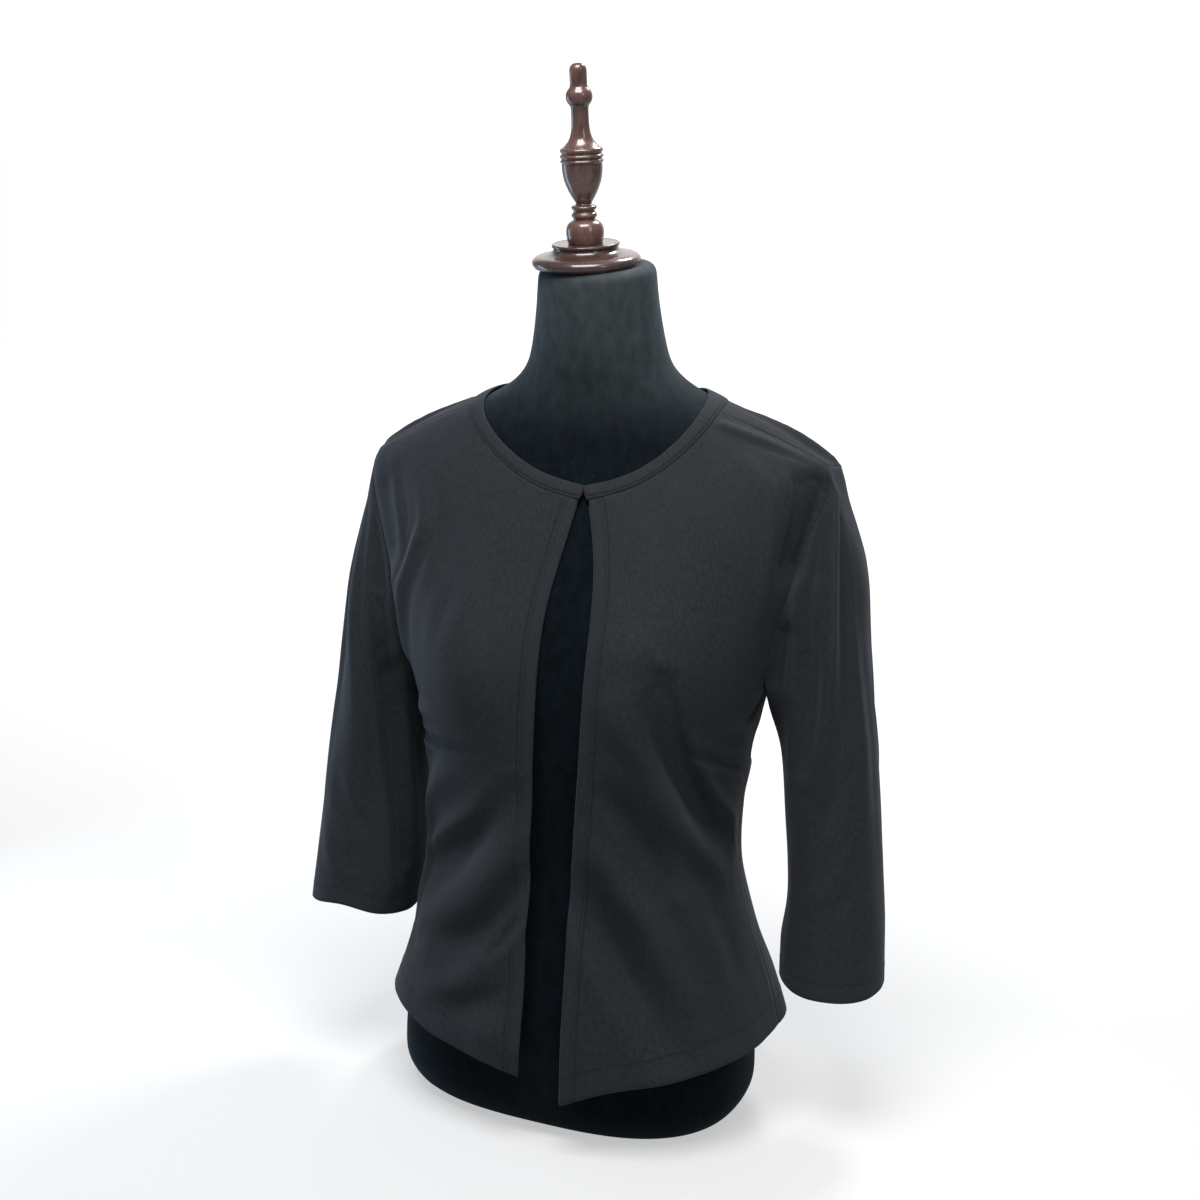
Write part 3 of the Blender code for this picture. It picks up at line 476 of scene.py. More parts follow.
def outer_skin(node, axis, thin):
    """The outside face of a packed cloth node as a mesh of quads, without its rim."""
    shape = packed_shape(node)
    groups = sorted(islands_of(shape, thin), key=lambda g: -sum(f.calc_area() for f in g))[:2]

    def outward(group):
        total = 0
        for face in group:
            middle = face.calc_center_median()
            away = Vector((middle.x - axis[0], middle.y - axis[1], 0))
            total += face.calc_area() * face.normal.dot(away)
        return total

    kept = set(max(groups, key=outward))
    bmesh.ops.delete(shape, geom=[f for f in shape.faces if f not in kept], context="FACES")
    bmesh.ops.join_triangles(
        shape, faces=shape.faces, angle_face_threshold=math.pi, angle_shape_threshold=math.pi
    )
    keep_corners(shape)
    mesh = bpy.data.meshes.new(node + "_skin")
    shape.to_mesh(mesh)
    shape.free()
    return mesh


def subdivided(mesh, levels):
    """The mesh after smooth subdivision."""
    holder = fresh_object("subdividing", mesh)
    smoothing = holder.modifiers.new("smooth", "SUBSURF")
    smoothing.levels = levels
    smoothing.boundary_smooth = "PRESERVE_CORNERS"
    graph = bpy.context.evaluated_depsgraph_get()
    result = bpy.data.meshes.new_from_object(holder.evaluated_get(graph))
    bpy.data.objects.remove(holder)
    return result


class Cloth:
    """One piece of cloth while it is shaped: its outside face as points and quads."""

    def __init__(self, node, axis, thin, levels):
        mesh = subdivided(outer_skin(node, axis, thin), levels)
        self.node = node
        self.points = np.empty(len(mesh.vertices) * 3)
        mesh.vertices.foreach_get("co", self.points)
        self.points = self.points.reshape(-1, 3)
        self.quads = np.array([face.vertices[:] for face in mesh.polygons])
        bpy.data.meshes.remove(mesh)
        self.rims = self.find_rims()
        self.marks = {}

    def find_rims(self):
        """The open edges as closed loops of points, in the direction of their faces."""
        forward = {}
        for quad in self.quads:
            for a, b in zip(quad, np.roll(quad, -1)):
                forward[(int(a), int(b))] = True
        after = {a: b for a, b in forward if (b, a) not in forward}
        loops = []
        while after:
            start = next(iter(after))
            loop, here = [start], after.pop(start)
            while here != start:
                loop.append(here)
                here = after.pop(here)
            loops.append(np.array(loop))
        return loops

    def normals(self):
        a, b, c, d = (self.points[self.quads[:, corner]] for corner in range(4))
        facing = np.cross(c - a, d - b)
        total = np.zeros_like(self.points)
        for corner in range(4):
            np.add.at(total, self.quads[:, corner], facing)
        return unit(total)

    def relax(self):
        """Evens the points out, but leaves the rims where they are."""
        pairs = np.concatenate([self.quads[:, [k, (k + 1) % 4]] for k in range(4)])
        pairs = np.unique(np.sort(pairs, axis=1), axis=0)
        count = np.zeros(len(self.points))
        np.add.at(count, pairs.ravel(), 1)
        still = np.concatenate(self.rims)
        for _ in range(RELAX_ROUNDS):
            total = np.zeros_like(self.points)
            np.add.at(total, pairs[:, 0], self.points[pairs[:, 1]])
            np.add.at(total, pairs[:, 1], self.points[pairs[:, 0]])
            moved = self.points + (total / count[:, None] - self.points) * RELAX_SHARE
            moved[still] = self.points[still]
            self.points = moved

    def push(self):
        """Moves the piece aside with its neighbours, which keeps their seams together."""
        for row in PUSHES:
            row = dict(zip(PUSH_COLUMNS, row))
            if self.node not in row["pieces"]:
                continue
            start, end = np.array(row["start"]) * CM, np.array(row["end"]) * CM
            off, step = self.points - start, end - start
            share = np.clip(off @ step / (step @ step), 0, 1)
            away = np.linalg.norm(off - share[:, None] * step, axis=1) / (row["reach"] * CM)
            self.points = self.points + np.exp(-(away**2))[:, None] * np.array(row["push"]) * CM

    def away_from(self, indices):
        """How far each point lies from a line of the piece's own rim."""
        if not len(indices):
            return np.full(len(self.points), 1.0)
        tree = KDTree(len(indices))
        for index in indices:
            tree.insert(self.points[index], int(index))
        tree.balance()
        return np.array([tree.find(point)[2] for point in self.points])


def on_body(points):
    """Places on the panels, as centimetres round the body and up."""
    x = (points[:, 0] / CM - BODY_AXIS[0]) / BODY_REACH[0]
    y = (points[:, 1] / CM - BODY_AXIS[1]) / BODY_REACH[1]
    return np.stack([np.degrees(np.arctan2(x, -y)) * DEGREE_WIDTH, points[:, 2] / CM], -1)


def on_arm(points):
    """Places on a sleeve, as centimetres round the arm and up."""
    out = np.abs(points[:, 0]) / CM - ARM_AXIS[0]
    back = points[:, 1] / CM - ARM_AXIS[1]
    return np.stack([np.degrees(np.arctan2(back, out)) * TURN_WIDTH, points[:, 2] / CM], -1)


def crease_height(places, crease, width, round_it):
    """How far one crease moves each place, in metres."""
    row = dict(zip(CREASE_COLUMNS, crease))
    path = smooth_path(row["path"], POINTS_PER_BEND * len(row["path"])) * (width, 1.0)
    start, along = path[:-1], np.diff(path, axis=0)
    best = np.full(len(places), 1e9)
    side, share = np.zeros(len(places)), np.zeros(len(places))
    for index, (a, step) in enumerate(zip(start, along)):
        off = places - a
        off[:, 0] = (off[:, 0] + round_it / 2) % round_it - round_it / 2
        t = np.clip(off @ step / (step @ step), 0, 1)
        gap = off - t[:, None] * step
        reach = np.hypot(gap[:, 0], gap[:, 1])
        nearer = reach < best
        best[nearer] = reach[nearer]
        side[nearer] = (step[0] * gap[:, 1] - step[1] * gap[:, 0])[nearer]
        share[nearer] = ((index + t) / len(along))[nearer]
    wide = row["reach"] * 0.1 * (1 + row["lean"] * np.sign(side) * np.tanh(best))
    ratio = best / wide
    beside = np.exp(-(((ratio - SHOULDER_AT) / SHOULDER_WIDTH) ** 2))
    profile = np.exp(-(ratio**2)) - SHOULDER_OF_FOLD * beside
    rounding = np.sin(np.pi * np.clip(share, 0, 1)) ** FOLD_ROUNDING
    fullness = FOLD_AT_ENDS + (1 - FOLD_AT_ENDS) * rounding
    return row["depth"] * MM * profile * fullness


def draw_creases(cloth, places, width, round_it, fade):
    """Adds the piece's creases, and the faint unevenness that all hanging cloth has."""
    rise = sum(crease_height(places, crease, width, round_it) for crease in CREASES[cloth.node])
    for index, point in enumerate(cloth.points):
        broad = noise.noise(Vector(point * BROAD_WAVES))
        fine = noise.noise(Vector(point * FINE_WAVES + FINE_START))
        rise[index] += (BROAD_HEIGHT * broad + FINE_HEIGHT * fine) * MM
    cloth.points = cloth.points + cloth.normals() * (rise * fade)[:, None]


def form_tree():
    shape = bmesh.new()
    shape.from_mesh(bpy.data.objects["velvet_form"].data)
    tree = BVHTree.FromBMesh(shape)
    shape.free()
    return tree


def keep_clear(cloth, tree, room):
    """Pushes the cloth out wherever its inside face would touch the form."""
    for index, point in enumerate(cloth.points):
        found, normal, _, away = tree.find_nearest(Vector(point), FORM_NEAR)
        if found is None:
            continue
        height = (Vector(point) - found).dot(normal)
        if height < room:
            cloth.points[index] += np.array(normal) * (room - height)


def seam_points(cloth, others):
    """Rim points of a piece that meet another piece, as a yes or no for each rim point."""
    tree = KDTree(sum(len(np.concatenate(other.rims)) for other in others))
    for other in others:
        for index in np.concatenate(other.rims):
            tree.insert(other.points[index], int(index))
    tree.balance()
    return [
        np.array([tree.find(cloth.points[index])[2] < SEAM_FOUND for index in rim])
        for rim in cloth.rims
    ]


def close_seams(pieces):
    """Brings sewn rims to the line midway between them, except beside the free edges."""
    rims = {
        key: [cloth.points[rim].copy() for rim in cloth.rims] for key, cloth in pieces.items()
    }
    for key, cloth in pieces.items():
        others = [loop for other in pieces if other != key for loop in rims[other]]
        start = np.concatenate(others)
        step = np.concatenate([np.roll(loop, -1, axis=0) - loop for loop in others])
        length = np.maximum((step * step).sum(axis=1), 1e-12)
        ease = np.clip(cloth.away_from(cloth.edges) / END_EASE, 0, 1) * SEAM_CLOSED
        for index in cloth.seams:
            off = cloth.points[index] - start
            share = np.clip((off * step).sum(axis=1) / length, 0, 1)
            nearest = start + step * share[:, None]
            gap = nearest - cloth.points[index]
            best = gap[np.argmin((gap * gap).sum(axis=1))]
            cloth.points[index] += best * ease[index]


def find_free_edges(cloth, others):
    """Sorts the piece's rim into seams, its hem or cuff, and its front edge."""
    seams, hems, edges = [], [], []
    for rim, sewn in zip(cloth.rims, seam_points(cloth, others)):
        step = cloth.points[np.roll(rim, -1)] - cloth.points[np.roll(rim, 1)]
        level = np.abs(step[:, 2]) < LEVEL_SLOPE * np.hypot(step[:, 0], step[:, 1])
        low = cloth.points[rim, 2] < HEMS_BELOW
        seams.extend(rim[sewn])
        hems.extend(rim[~sewn & level & low])
        edges.extend(rim[~sewn & ~(level & low)])
    cloth.seams, cloth.hems, cloth.edges = (np.array(part, int) for part in (seams, hems, edges))


def thick_mesh(cloth, name, thickness, places, round_it):
    """Gives the shaped face its thickness, with a rounded rim at the free edges."""
    points, normals, count = cloth.points, cloth.normals(), len(cloth.points)
    inner = points - normals * thickness[:, None]
    all_points, faces = [points, inner], [cloth.quads, cloth.quads[:, ::-1] + count]
    owner = [np.arange(count), np.arange(count)]
    free = set(cloth.hems) | set(cloth.edges)
    total = 2 * count
    for rim in cloth.rims:
        after = np.roll(rim, -1)
        along = unit(points[after] - points[np.roll(rim, 1)])
        outward = np.cross(along, normals[rim])
        bulge = np.array([0.5 if index in free else 0.0 for index in rim])
        middle = (points[rim] + inner[rim]) / 2 + outward * (bulge * thickness[rim])[:, None]
        here = total + np.arange(len(rim))
        there = np.roll(here, -1)
        faces.append(np.stack([after, rim, here, there], -1))
        faces.append(np.stack([there, here, rim + count, after + count], -1))
        all_points.append(middle)
        owner.append(rim)
        total += len(rim)
    piece = meshed(name, np.concatenate(all_points).tolist(), np.concatenate(faces).tolist())
    mesh, owner = piece.data, np.concatenate(owner)
    flat = (places * CM)[owner]
    layer = mesh.uv_layers.new(name="cloth_uv")
    corners = np.array([loop.vertex_index for loop in mesh.loops])
    values = flat[corners].reshape(-1, 4, 2)
    if round_it:
        high = values[:, :, 0].max(axis=1, keepdims=True)
        behind = high - values[:, :, 0] > round_it * CM / 2
        values[:, :, 0] += behind * round_it * CM
    layer.uv.foreach_set("vector", values.ravel())
    for key, value in cloth.marks.items():
        mesh.attributes.new(key, "FLOAT", "POINT").data.foreach_set("value", value[owner])
    mesh.update()
    return piece


def ordered_line(cloth, wanted):
    """The longest run of wanted points along a rim, in order."""
    wanted = set(int(index) for index in wanted)
    best = []
    for rim in cloth.rims:
        inside = np.array([int(index) in wanted for index in rim])
        if inside.all():
            return rim, True
        if not inside.any():
            continue
        start = int(np.argmin(inside))
        rim, inside = np.roll(rim, -start), np.roll(inside, -start)
        run = []
        for index, there in zip(rim, inside):
            if there:
                run.append(index)
            elif len(run) > len(best):
                best, run = run, []
            else:
                run = []
        if len(run) > len(best):
            best = run
    return np.array(best, int), False


def inside_line(cloth, line, closed, distance):
    """A line that runs beside a rim at a fixed distance, laid on the cloth."""
    points, normals = cloth.points[line], cloth.normals()
    if closed:
        along = np.roll(points, -1, axis=0) - np.roll(points, 1, axis=0)
    else:
        along = np.gradient(points, axis=0)
    inward = np.cross(normals[line], unit(along))
    tree = BVHTree.FromPolygons(cloth.points.tolist(), cloth.quads.tolist())
    laid = []
    for point, way in zip(points, inward):
        here = Vector(point)
        for _ in range(LAYING_STEPS):
            ahead = here + Vector(way) * (distance / LAYING_STEPS)
            here, normal, _, _ = tree.find_nearest(ahead)
        laid.append((here, normal))
    return np.array([p for p, _ in laid]), np.array([n for _, n in laid])


def stitch_capsules(line, normals, closed):
    """One small thread capsule for each stitch along a line."""
    length, pitch, thread = sizes().stitch_length, sizes().stitch_pitch, sizes().thread
    if closed:
        line, normals = np.concatenate((line, line[:1])), np.concatenate((normals, normals[:1]))
    steps = np.linalg.norm(np.diff(line, axis=0), axis=1)
    run = np.concatenate(([0], np.cumsum(steps)))

    def along_line(values, at):
        return np.array([np.interp(at, run, values[:, axis]) for axis in range(3)])

    turns = np.linspace(0, 2 * np.pi, STITCH_RING, endpoint=False)
    points, faces = [], []
    for middle in np.arange(pitch / 2, run[-1] - pitch / 3, pitch):
        first = len(points)
        for share, size in STITCH_STATIONS:
            at = middle + share * length
            up = unit(along_line(normals, at))
            along = unit(along_line(line, at + STITCH_NEAR) - along_line(line, at - STITCH_NEAR))
            across = unit(np.cross(up, along))
            sunk = thread * (0.5 - STITCH_SUNK) - (2 * share) ** 2 * thread * STITCH_DIP
            centre = along_line(line, at) + up * sunk
            for turn in turns:
                around = across * math.cos(turn) + up * math.sin(turn)
                points.append(centre + around * thread / 2 * size)
        capsule = quads_between(len(STITCH_STATIONS), STITCH_RING)
        capsule.append(tuple(reversed(range(STITCH_RING))))
        last = (len(STITCH_STATIONS) - 1) * STITCH_RING
        capsule.append(tuple(last + step for step in range(STITCH_RING)))
        faces.extend(tuple(first + corner for corner in face) for face in capsule)
    return points, faces


def sew(name, rows, cloth):
    """All the stitches of one piece, as one mesh of thread."""
    points, faces = [], []
    for line, closed, distance in rows:
        laid, normals = inside_line(cloth, line, closed, distance)
        more, quads = stitch_capsules(laid, normals, closed)
        faces.extend(tuple(corner + len(points) for corner in quad) for quad in quads)
        points.extend(more)
    thread = meshed(name, points, faces)
    settle(thread, thread_material())
    return thread


def wire(tree, kind, values=None, **links):
    """A node with its settings and inputs, where a link is a socket that feeds an input."""
    node = tree.nodes.new(kind)
    for key, value in (values or {}).items():
        if isinstance(key, str) and hasattr(node, key):
            setattr(node, key, value)
        else:
            node.inputs[key].default_value = value
    for key, socket in links.items():
        number = key[1:]
        entry = int(number) if number.isdigit() else key.replace("_", " ")
        tree.links.new(socket, node.inputs[entry])
    return node


def feed(tree, node, sockets):
    """Links each named input of a node to a socket."""
    for label, socket in sockets.items():
        tree.links.new(socket, node.inputs[label])


def maths(tree, operation, *parts):
    """The outcome of a sum whose parts are sockets or numbers."""
    node = wire(tree, "ShaderNodeMath", {"operation": operation})
    for entry, part in zip(node.inputs, parts):
        if isinstance(part, bpy.types.NodeSocket):
            tree.links.new(part, entry)
        else:
            entry.default_value = part
    return node.outputs[0]


def stretched(tree, place, by):
    return wire(tree, "ShaderNodeVectorMath", {"operation": "MULTIPLY", 1: by}, i0=place).outputs[0]


def blotches(tree, place, scale, detail, values=None):
    """A noise over the surface."""
    settings = {"Scale": scale, "Detail": detail, **(values or {})}
    return wire(tree, "ShaderNodeTexNoise", settings, Vector=place).outputs["Fac"]


def ranged(tree, factor, values):
    return wire(tree, "ShaderNodeMapRange", values, Value=factor).outputs[0]


def raised(tree, height, strength, distance):
    bump = wire(tree, "ShaderNodeBump", {"Strength": strength, "Distance": distance}, Height=height)
    return bump.outputs["Normal"]


def tones(tree, factor, dark, light, low=0.0, high=1.0):
    """A colour between two tones by a factor."""
    ramp = wire(tree, "ShaderNodeValToRGB", Fac=factor)
    for element, position, colour in zip(ramp.color_ramp.elements, (low, high), (dark, light)):
        element.position = position
        element.color = (*colour, 1)
    return ramp.outputs["Color"]


def mixed(tree, factor, base, added):
    """Two colours mixed by a factor that is a socket or a number."""
    node = wire(tree, "ShaderNodeMix", {"data_type": "RGBA"})
    for index, value in ((0, factor), (6, base), (7, added)):
        if isinstance(value, bpy.types.NodeSocket):
            tree.links.new(value, node.inputs[index])
        elif index == 0:
            node.inputs[index].default_value = value
        else:
            node.inputs[index].default_value = (*value, 1)
    return node.outputs[2]


def scaled(colour, by):
    return tuple(min(1.0, part * by) for part in colour)


def effect(name, inputs, outputs, draw):
    """A shader group with named sockets, drawn once and shared from then on."""
    if name in bpy.data.node_groups:
        return bpy.data.node_groups[name]
    group = bpy.data.node_groups.new(name, "ShaderNodeTree")
    for label, kind in inputs:
        group.interface.new_socket(name=label, in_out="INPUT", socket_type=kind)
    for label in outputs:
        group.interface.new_socket(name=label, in_out="OUTPUT", socket_type=VALUE)
    given = group.nodes.new("NodeGroupInput").outputs
    feed(group, group.nodes.new("NodeGroupOutput"), draw(group, given))
    return group


def knit(group, given):
    """Fine ribs of loops, as a height, and a mottled shade from yarn to yarn."""
    ribs = wire(group, "ShaderNodeTexWave", {
        "bands_direction": "X", "Scale": 300.0, "Distortion": 0.6, "Detail": 2.0,
        "Detail Scale": 2.0,
    }, Vector=given["Place"]).outputs["Fac"]
    place = stretched(group, given["Place"], (1.0, 0.45, 1.0))
    loops = blotches(group, place, 1500.0, 2.0, {"Roughness": 0.6})
    height = wire(group, "ShaderNodeMix", {"data_type": "FLOAT", 0: 0.6}, i2=ribs, i3=loops)
    mottle = blotches(group, place, 420.0, 5.0, {"Roughness": 0.75})
    return {"Height": height.outputs[0], "Mottle": mottle}


def stitched_line(group, given):
    """The groove that a row of stitches draws beside an edge, and the band inside it."""
    off = maths(group, "SUBTRACT", given["Away"], given["Band"])
    share = maths(group, "DIVIDE", off, given["Width"])
    square = maths(group, "MULTIPLY", share, share)
    groove = maths(group, "EXPONENT", maths(group, "MULTIPLY", square, -1.0))
    inside = ranged(group, share, {**SMOOTH, "From Min": 1.0, "From Max": -1.0})
    return {"Groove": groove, "Inside": inside}


def dust(group, given):
    """Lint and faint rubbed patches that settle on dark cloth."""
    flecks = wire(group, "ShaderNodeTexNoise", {"Detail": 3.0, "Roughness": 0.7},
                  Vector=given["Place"], Scale=given["Fleck Size"]).outputs["Fac"]
    lint = ranged(group, flecks, {**SMOOTH, "From Min": 0.61, "From Max": 0.74})
    return {"Lint": lint, "Patches": blotches(group, given["Place"], 16.0, 3.0, {"Roughness": 0.55})}


def place_knit(tree, place):
    group = effect("knit", (("Place", VECTOR),), ("Height", "Mottle"), knit)
    return wire(tree, "ShaderNodeGroup", {"node_tree": group}, Place=place).outputs


def place_line(tree, away, band):
    sockets = (("Away", VALUE), ("Band", VALUE), ("Width", VALUE))
    group = effect("stitched_line", sockets, ("Groove", "Inside"), stitched_line)
    values = {"node_tree": group, "Band": band, "Width": GROOVE_WIDTH}
    return wire(tree, "ShaderNodeGroup", values, Away=away).outputs


def place_dust(tree, place, fleck_size):
    sockets = (("Place", VECTOR), ("Fleck Size", VALUE))
    group = effect("lint", sockets, ("Lint", "Patches"), dust)
    values = {"node_tree": group, "Fleck Size": fleck_size}
    return wire(tree, "ShaderNodeGroup", values, Place=place).outputs


def new_material(name, values):
    """A material with its Principled shader's own fixed values."""
    material = bpy.data.materials.new(name)
    material.use_nodes = True
    shader = material.node_tree.nodes["Principled BSDF"]
    for key, value in values.items():
        shader.inputs[key].default_value = value
    return material, material.node_tree, shader


def object_place(tree):
    return wire(tree, "ShaderNodeTexCoord").outputs["Object"]


def jersey_material(name, bands):
    """Charcoal double jersey. A band is an attribute, where its line lies and if it is raised. Each
    band's line gets painted shade in its groove, and a raised band a painted highlight.
    """
    base = tuple(finishes().jersey)
    material, tree, shader = new_material(name, {
        "Sheen Weight": 0.08, "Sheen Roughness": 0.5, "Sheen Tint": (0.80, 0.90, 1.0, 1),
        "Specular IOR Level": 0.2,
    })
    place = wire(tree, "ShaderNodeUVMap", {"uv_map": "cloth_uv"}).outputs["UV"]
    loops, lint = place_knit(tree, place), place_dust(tree, place, 900.0)
    colour = tones(tree, loops["Mottle"], scaled(base, 0.6), scaled(base, 1.5), 0.32, 0.68)
    patches = ranged(tree, lint["Patches"], {"From Min": 0.35, "From Max": 0.65, "To Max": 0.45})
    colour = mixed(tree, patches, colour, scaled(base, 1.2))
    colour = mixed(tree, maths(tree, "MULTIPLY", lint["Lint"], 0.25), colour, (0.12, 0.125, 0.13))
    height = maths(tree, "MULTIPLY", loops["Height"], 0.12)
    for attribute, band, turned_in in bands:
        away = wire(tree, "ShaderNodeAttribute", {"attribute_name": attribute}).outputs["Fac"]
        line = place_line(tree, away, band)
        # Painted shade: each stitched line's groove is drawn darker.
        painted_groove_shade = maths(tree, "MULTIPLY", line["Groove"], 0.6)
        colour = mixed(tree, painted_groove_shade, colour, scaled(base, 0.3))
        height = maths(tree, "MULTIPLY_ADD", line["Groove"], -0.6, height)
        if turned_in:
            # A raised band gets a painted highlight: its colour is drawn lighter and bluer.
            painted_band_highlight = maths(tree, "MULTIPLY", line["Inside"], 0.14)
            lighter = (base[0] * 1.3, base[1] * 1.5, base[2] * 1.75)
            colour = mixed(tree, painted_band_highlight, colour, lighter)
            height = maths(tree, "MULTIPLY_ADD", line["Inside"], 0.4, height)
    feed(tree, shader, {
        "Base Color": colour,
        "Roughness": ranged(tree, loops["Mottle"], {"To Min": 0.72, "To Max": 0.92}),
        "Normal": raised(tree, height, 0.6, 0.7 * MM),
    })
    return material


def thread_material():
    """Sewing thread, a little lighter than the jersey."""
    if "sewing_thread" in bpy.data.materials:
        return bpy.data.materials["sewing_thread"]
    base = tuple(finishes().jersey)
    material, tree, shader = new_material("sewing_thread", {"Sheen Weight": 0.1})
    twist = blotches(tree, object_place(tree), 2400.0, 2.0)
    feed(tree, shader, {
        "Base Color": tones(tree, twist, scaled(base, 0.9), scaled(base, 2.2), 0.3, 0.7),
        "Roughness": ranged(tree, twist, {"To Min": 0.45, "To Max": 0.7}),
    })
    return material


def velvet_material():
    """Short velvet pile: dark face, a cool bloom at the rim, brushed streaks, lint, and painted
    light that lightens the neck towards its top.
    """
    base = tuple(finishes().velvet)
    material, tree, shader = new_material("velvet_pile", {
        "Sheen Weight": 0.12, "Sheen Roughness": 0.4, "Sheen Tint": (0.62, 0.85, 1.0, 1),
        "Specular IOR Level": 0.12,
    })
    place = object_place(tree)
    brushed = stretched(tree, place, (1.0, 1.0, 0.5))
    streaks = blotches(tree, brushed, 120.0, 4.0, {"Roughness": 0.6})
    lint = place_dust(tree, place, 520.0)
    colour = tones(tree, streaks, scaled(base, 0.7), scaled(base, 1.8), 0.35, 0.7)
    # Painted light: lighter tones that the neck takes on towards its top.
    painted_light_tones = tones(tree, streaks, (0.042, 0.053, 0.059), (0.070, 0.083, 0.089), 0.3, 0.7)
    height = wire(tree, "ShaderNodeSeparateXYZ", Vector=place).outputs["Z"]
    tone_blend = ranged(tree, height, {**SMOOTH, "From Min": PAINTED_LIGHT_FROM_Z, "From Max": PAINTED_LIGHT_AT_Z})
    colour = mixed(tree, tone_blend, colour, painted_light_tones)
    colour = mixed(tree, maths(tree, "MULTIPLY", lint["Lint"], 0.22), colour, (0.08, 0.09, 0.10))
    feed(tree, shader, {
        "Base Color": colour,
        "Roughness": ranged(tree, lint["Patches"], {"To Min": 0.8, "To Max": 1.0}),
        "Normal": raised(tree, blotches(tree, place, 2600.0, 2.0), 0.35, 0.3 * MM),
    })
    return material


def mahogany_material(name, shade):
    """Dark red-brown turned wood under a deep polish."""
    # The wood's base is scaled per piece: painted shade on the cap, a painted highlight on the
    # finial.
    base = scaled(finishes().mahogany, shade)
    material, tree, shader = new_material(name, {
        "Coat Roughness": 0.06, "Coat IOR": 1.5, "Specular IOR Level": 0.5,
    })
    place = stretched(tree, object_place(tree), (1.0, 1.0, 0.09))
    grain = blotches(tree, place, 260.0, 6.0, {"Roughness": 0.65, "Distortion": 0.6})
    figure = blotches(tree, place, 60.0, 3.0, {"Distortion": 1.2})
    pores = blotches(tree, place, 1500.0, 2.0)
    colour = tones(tree, grain, scaled(base, 0.45), scaled(base, 1.7), 0.35, 0.68)
    broad = tones(tree, figure, scaled(base, 0.5), scaled(base, 1.5), 0.3, 0.7)
    colour = mixed(tree, 0.45, colour, broad)
    dark_pores = ranged(tree, pores, {"From Min": 0.62, "From Max": 0.75, "To Max": 0.6})
    feed(tree, shader, {
        "Base Color": mixed(tree, dark_pores, colour, scaled(base, 0.2)),
        "Roughness": ranged(tree, grain, {"To Min": 0.22, "To Max": 0.42}),
        "Coat Weight": ranged(tree, figure, {"To Min": 1.0, "To Max": 0.85}),
        "Normal": raised(tree, grain, 0.12, 0.15 * MM),
    })
    return material


def enamel_material():
    """Black enamel worn to the metal here and there."""
    material, tree, shader = new_material("enamelled_wire", {
        "Coat Roughness": 0.2, "Metallic": 1.0,
    })
    tone_blend = blotches(tree, object_place(tree), 900.0, 3.0)
    feed(tree, shader, {
        "Base Color": tones(tree, tone_blend, (0.01, 0.01, 0.011), (0.09, 0.088, 0.085), 0.45, 0.8),
        "Roughness": ranged(tree, tone_blend, {"To Min": 0.3, "To Max": 0.55}),
    })
    return material


CLOTHS = {}


class CARDIGAN_OT_form(bpy.types.Operator):
    """Makes the smooth velvet form that the cardigan rests on"""

    bl_idname = "cardigan.form"
    bl_label = "Velvet form"

    def execute(self, context):
        shape = packed_shape("dress_form")
        bmesh.ops.join_triangles(
            shape, faces=shape.faces, angle_face_threshold=math.pi, angle_shape_threshold=math.pi
        )
        mesh = bpy.data.meshes.new("form_cage")
        shape.to_mesh(mesh)
        shape.free()
        mesh = subdivided(mesh, FORM_LEVELS)
        mesh.shade_smooth()
        form = fresh_object("velvet_form", mesh)
        form.data.materials.clear()
        settle(form, velvet_material(), "dress_form")
        return {"FINISHED"}


def turned(name, node, profile, foot, shade):
    """A piece from the lathe, tilted as the neck's top is."""
    outline = smooth_path(profile, 5 * len(profile))
    outline[:, 0] = np.maximum(outline[:, 0], 0)
    turns = np.linspace(0, 2 * np.pi, LATHE_STEPS, endpoint=False)
    upright = np.array([0, -math.sin(NECK_TILT), math.cos(NECK_TILT)])
    ahead = np.array([0, math.cos(NECK_TILT), math.sin(NECK_TILT)])
    points, faces = [], []
    for radius, height in outline[1:-1]:
        for turn in turns:
            off = np.array([math.cos(turn), 0, 0]) * radius + ahead * math.sin(turn) * radius
            points.append((foot + off + upright * height) * CM)
    rows = len(outline) - 2
    faces.extend(face[::-1] for face in quads_between(rows, LATHE_STEPS))
    top, bottom = len(points), len(points) + 1
    points.extend((foot + upright * height) * CM for height in (outline[0, 1], outline[-1, 1]))
    last = (rows - 1) * LATHE_STEPS
    for step in range(LATHE_STEPS):
        after = (step + 1) % LATHE_STEPS
        faces.append((top, step, after))
        faces.append((bottom, last + after, last + step))
    wood = mahogany_material(name + "_wood", shade)
    settle(meshed(name, points, faces), wood, node)


class CARDIGAN_OT_cap(bpy.types.Operator):
    """Turns the wooden cap and its finial"""

    bl_idname = "cardigan.cap"
    bl_label = "Cap and finial"

    def execute(self, context):
        upright = np.array([0, -math.sin(NECK_TILT), math.cos(NECK_TILT)])
        seat = np.array(CAP_SEAT) + upright * SEAM_GAP
        turned("turned_cap", "neck_cap", CAP_PROFILE, seat, CAP_PAINTED_SHADE)
        finial = [(radius, height * FINIAL_SCALE) for radius, height in FINIAL_PROFILE]
        foot = seat + upright * (CAP_HEIGHT + SEAM_GAP)
        turned("turned_finial", "finial", finial, foot, FINIAL_PAINTED_HIGHLIGHT)
        return {"FINISHED"}


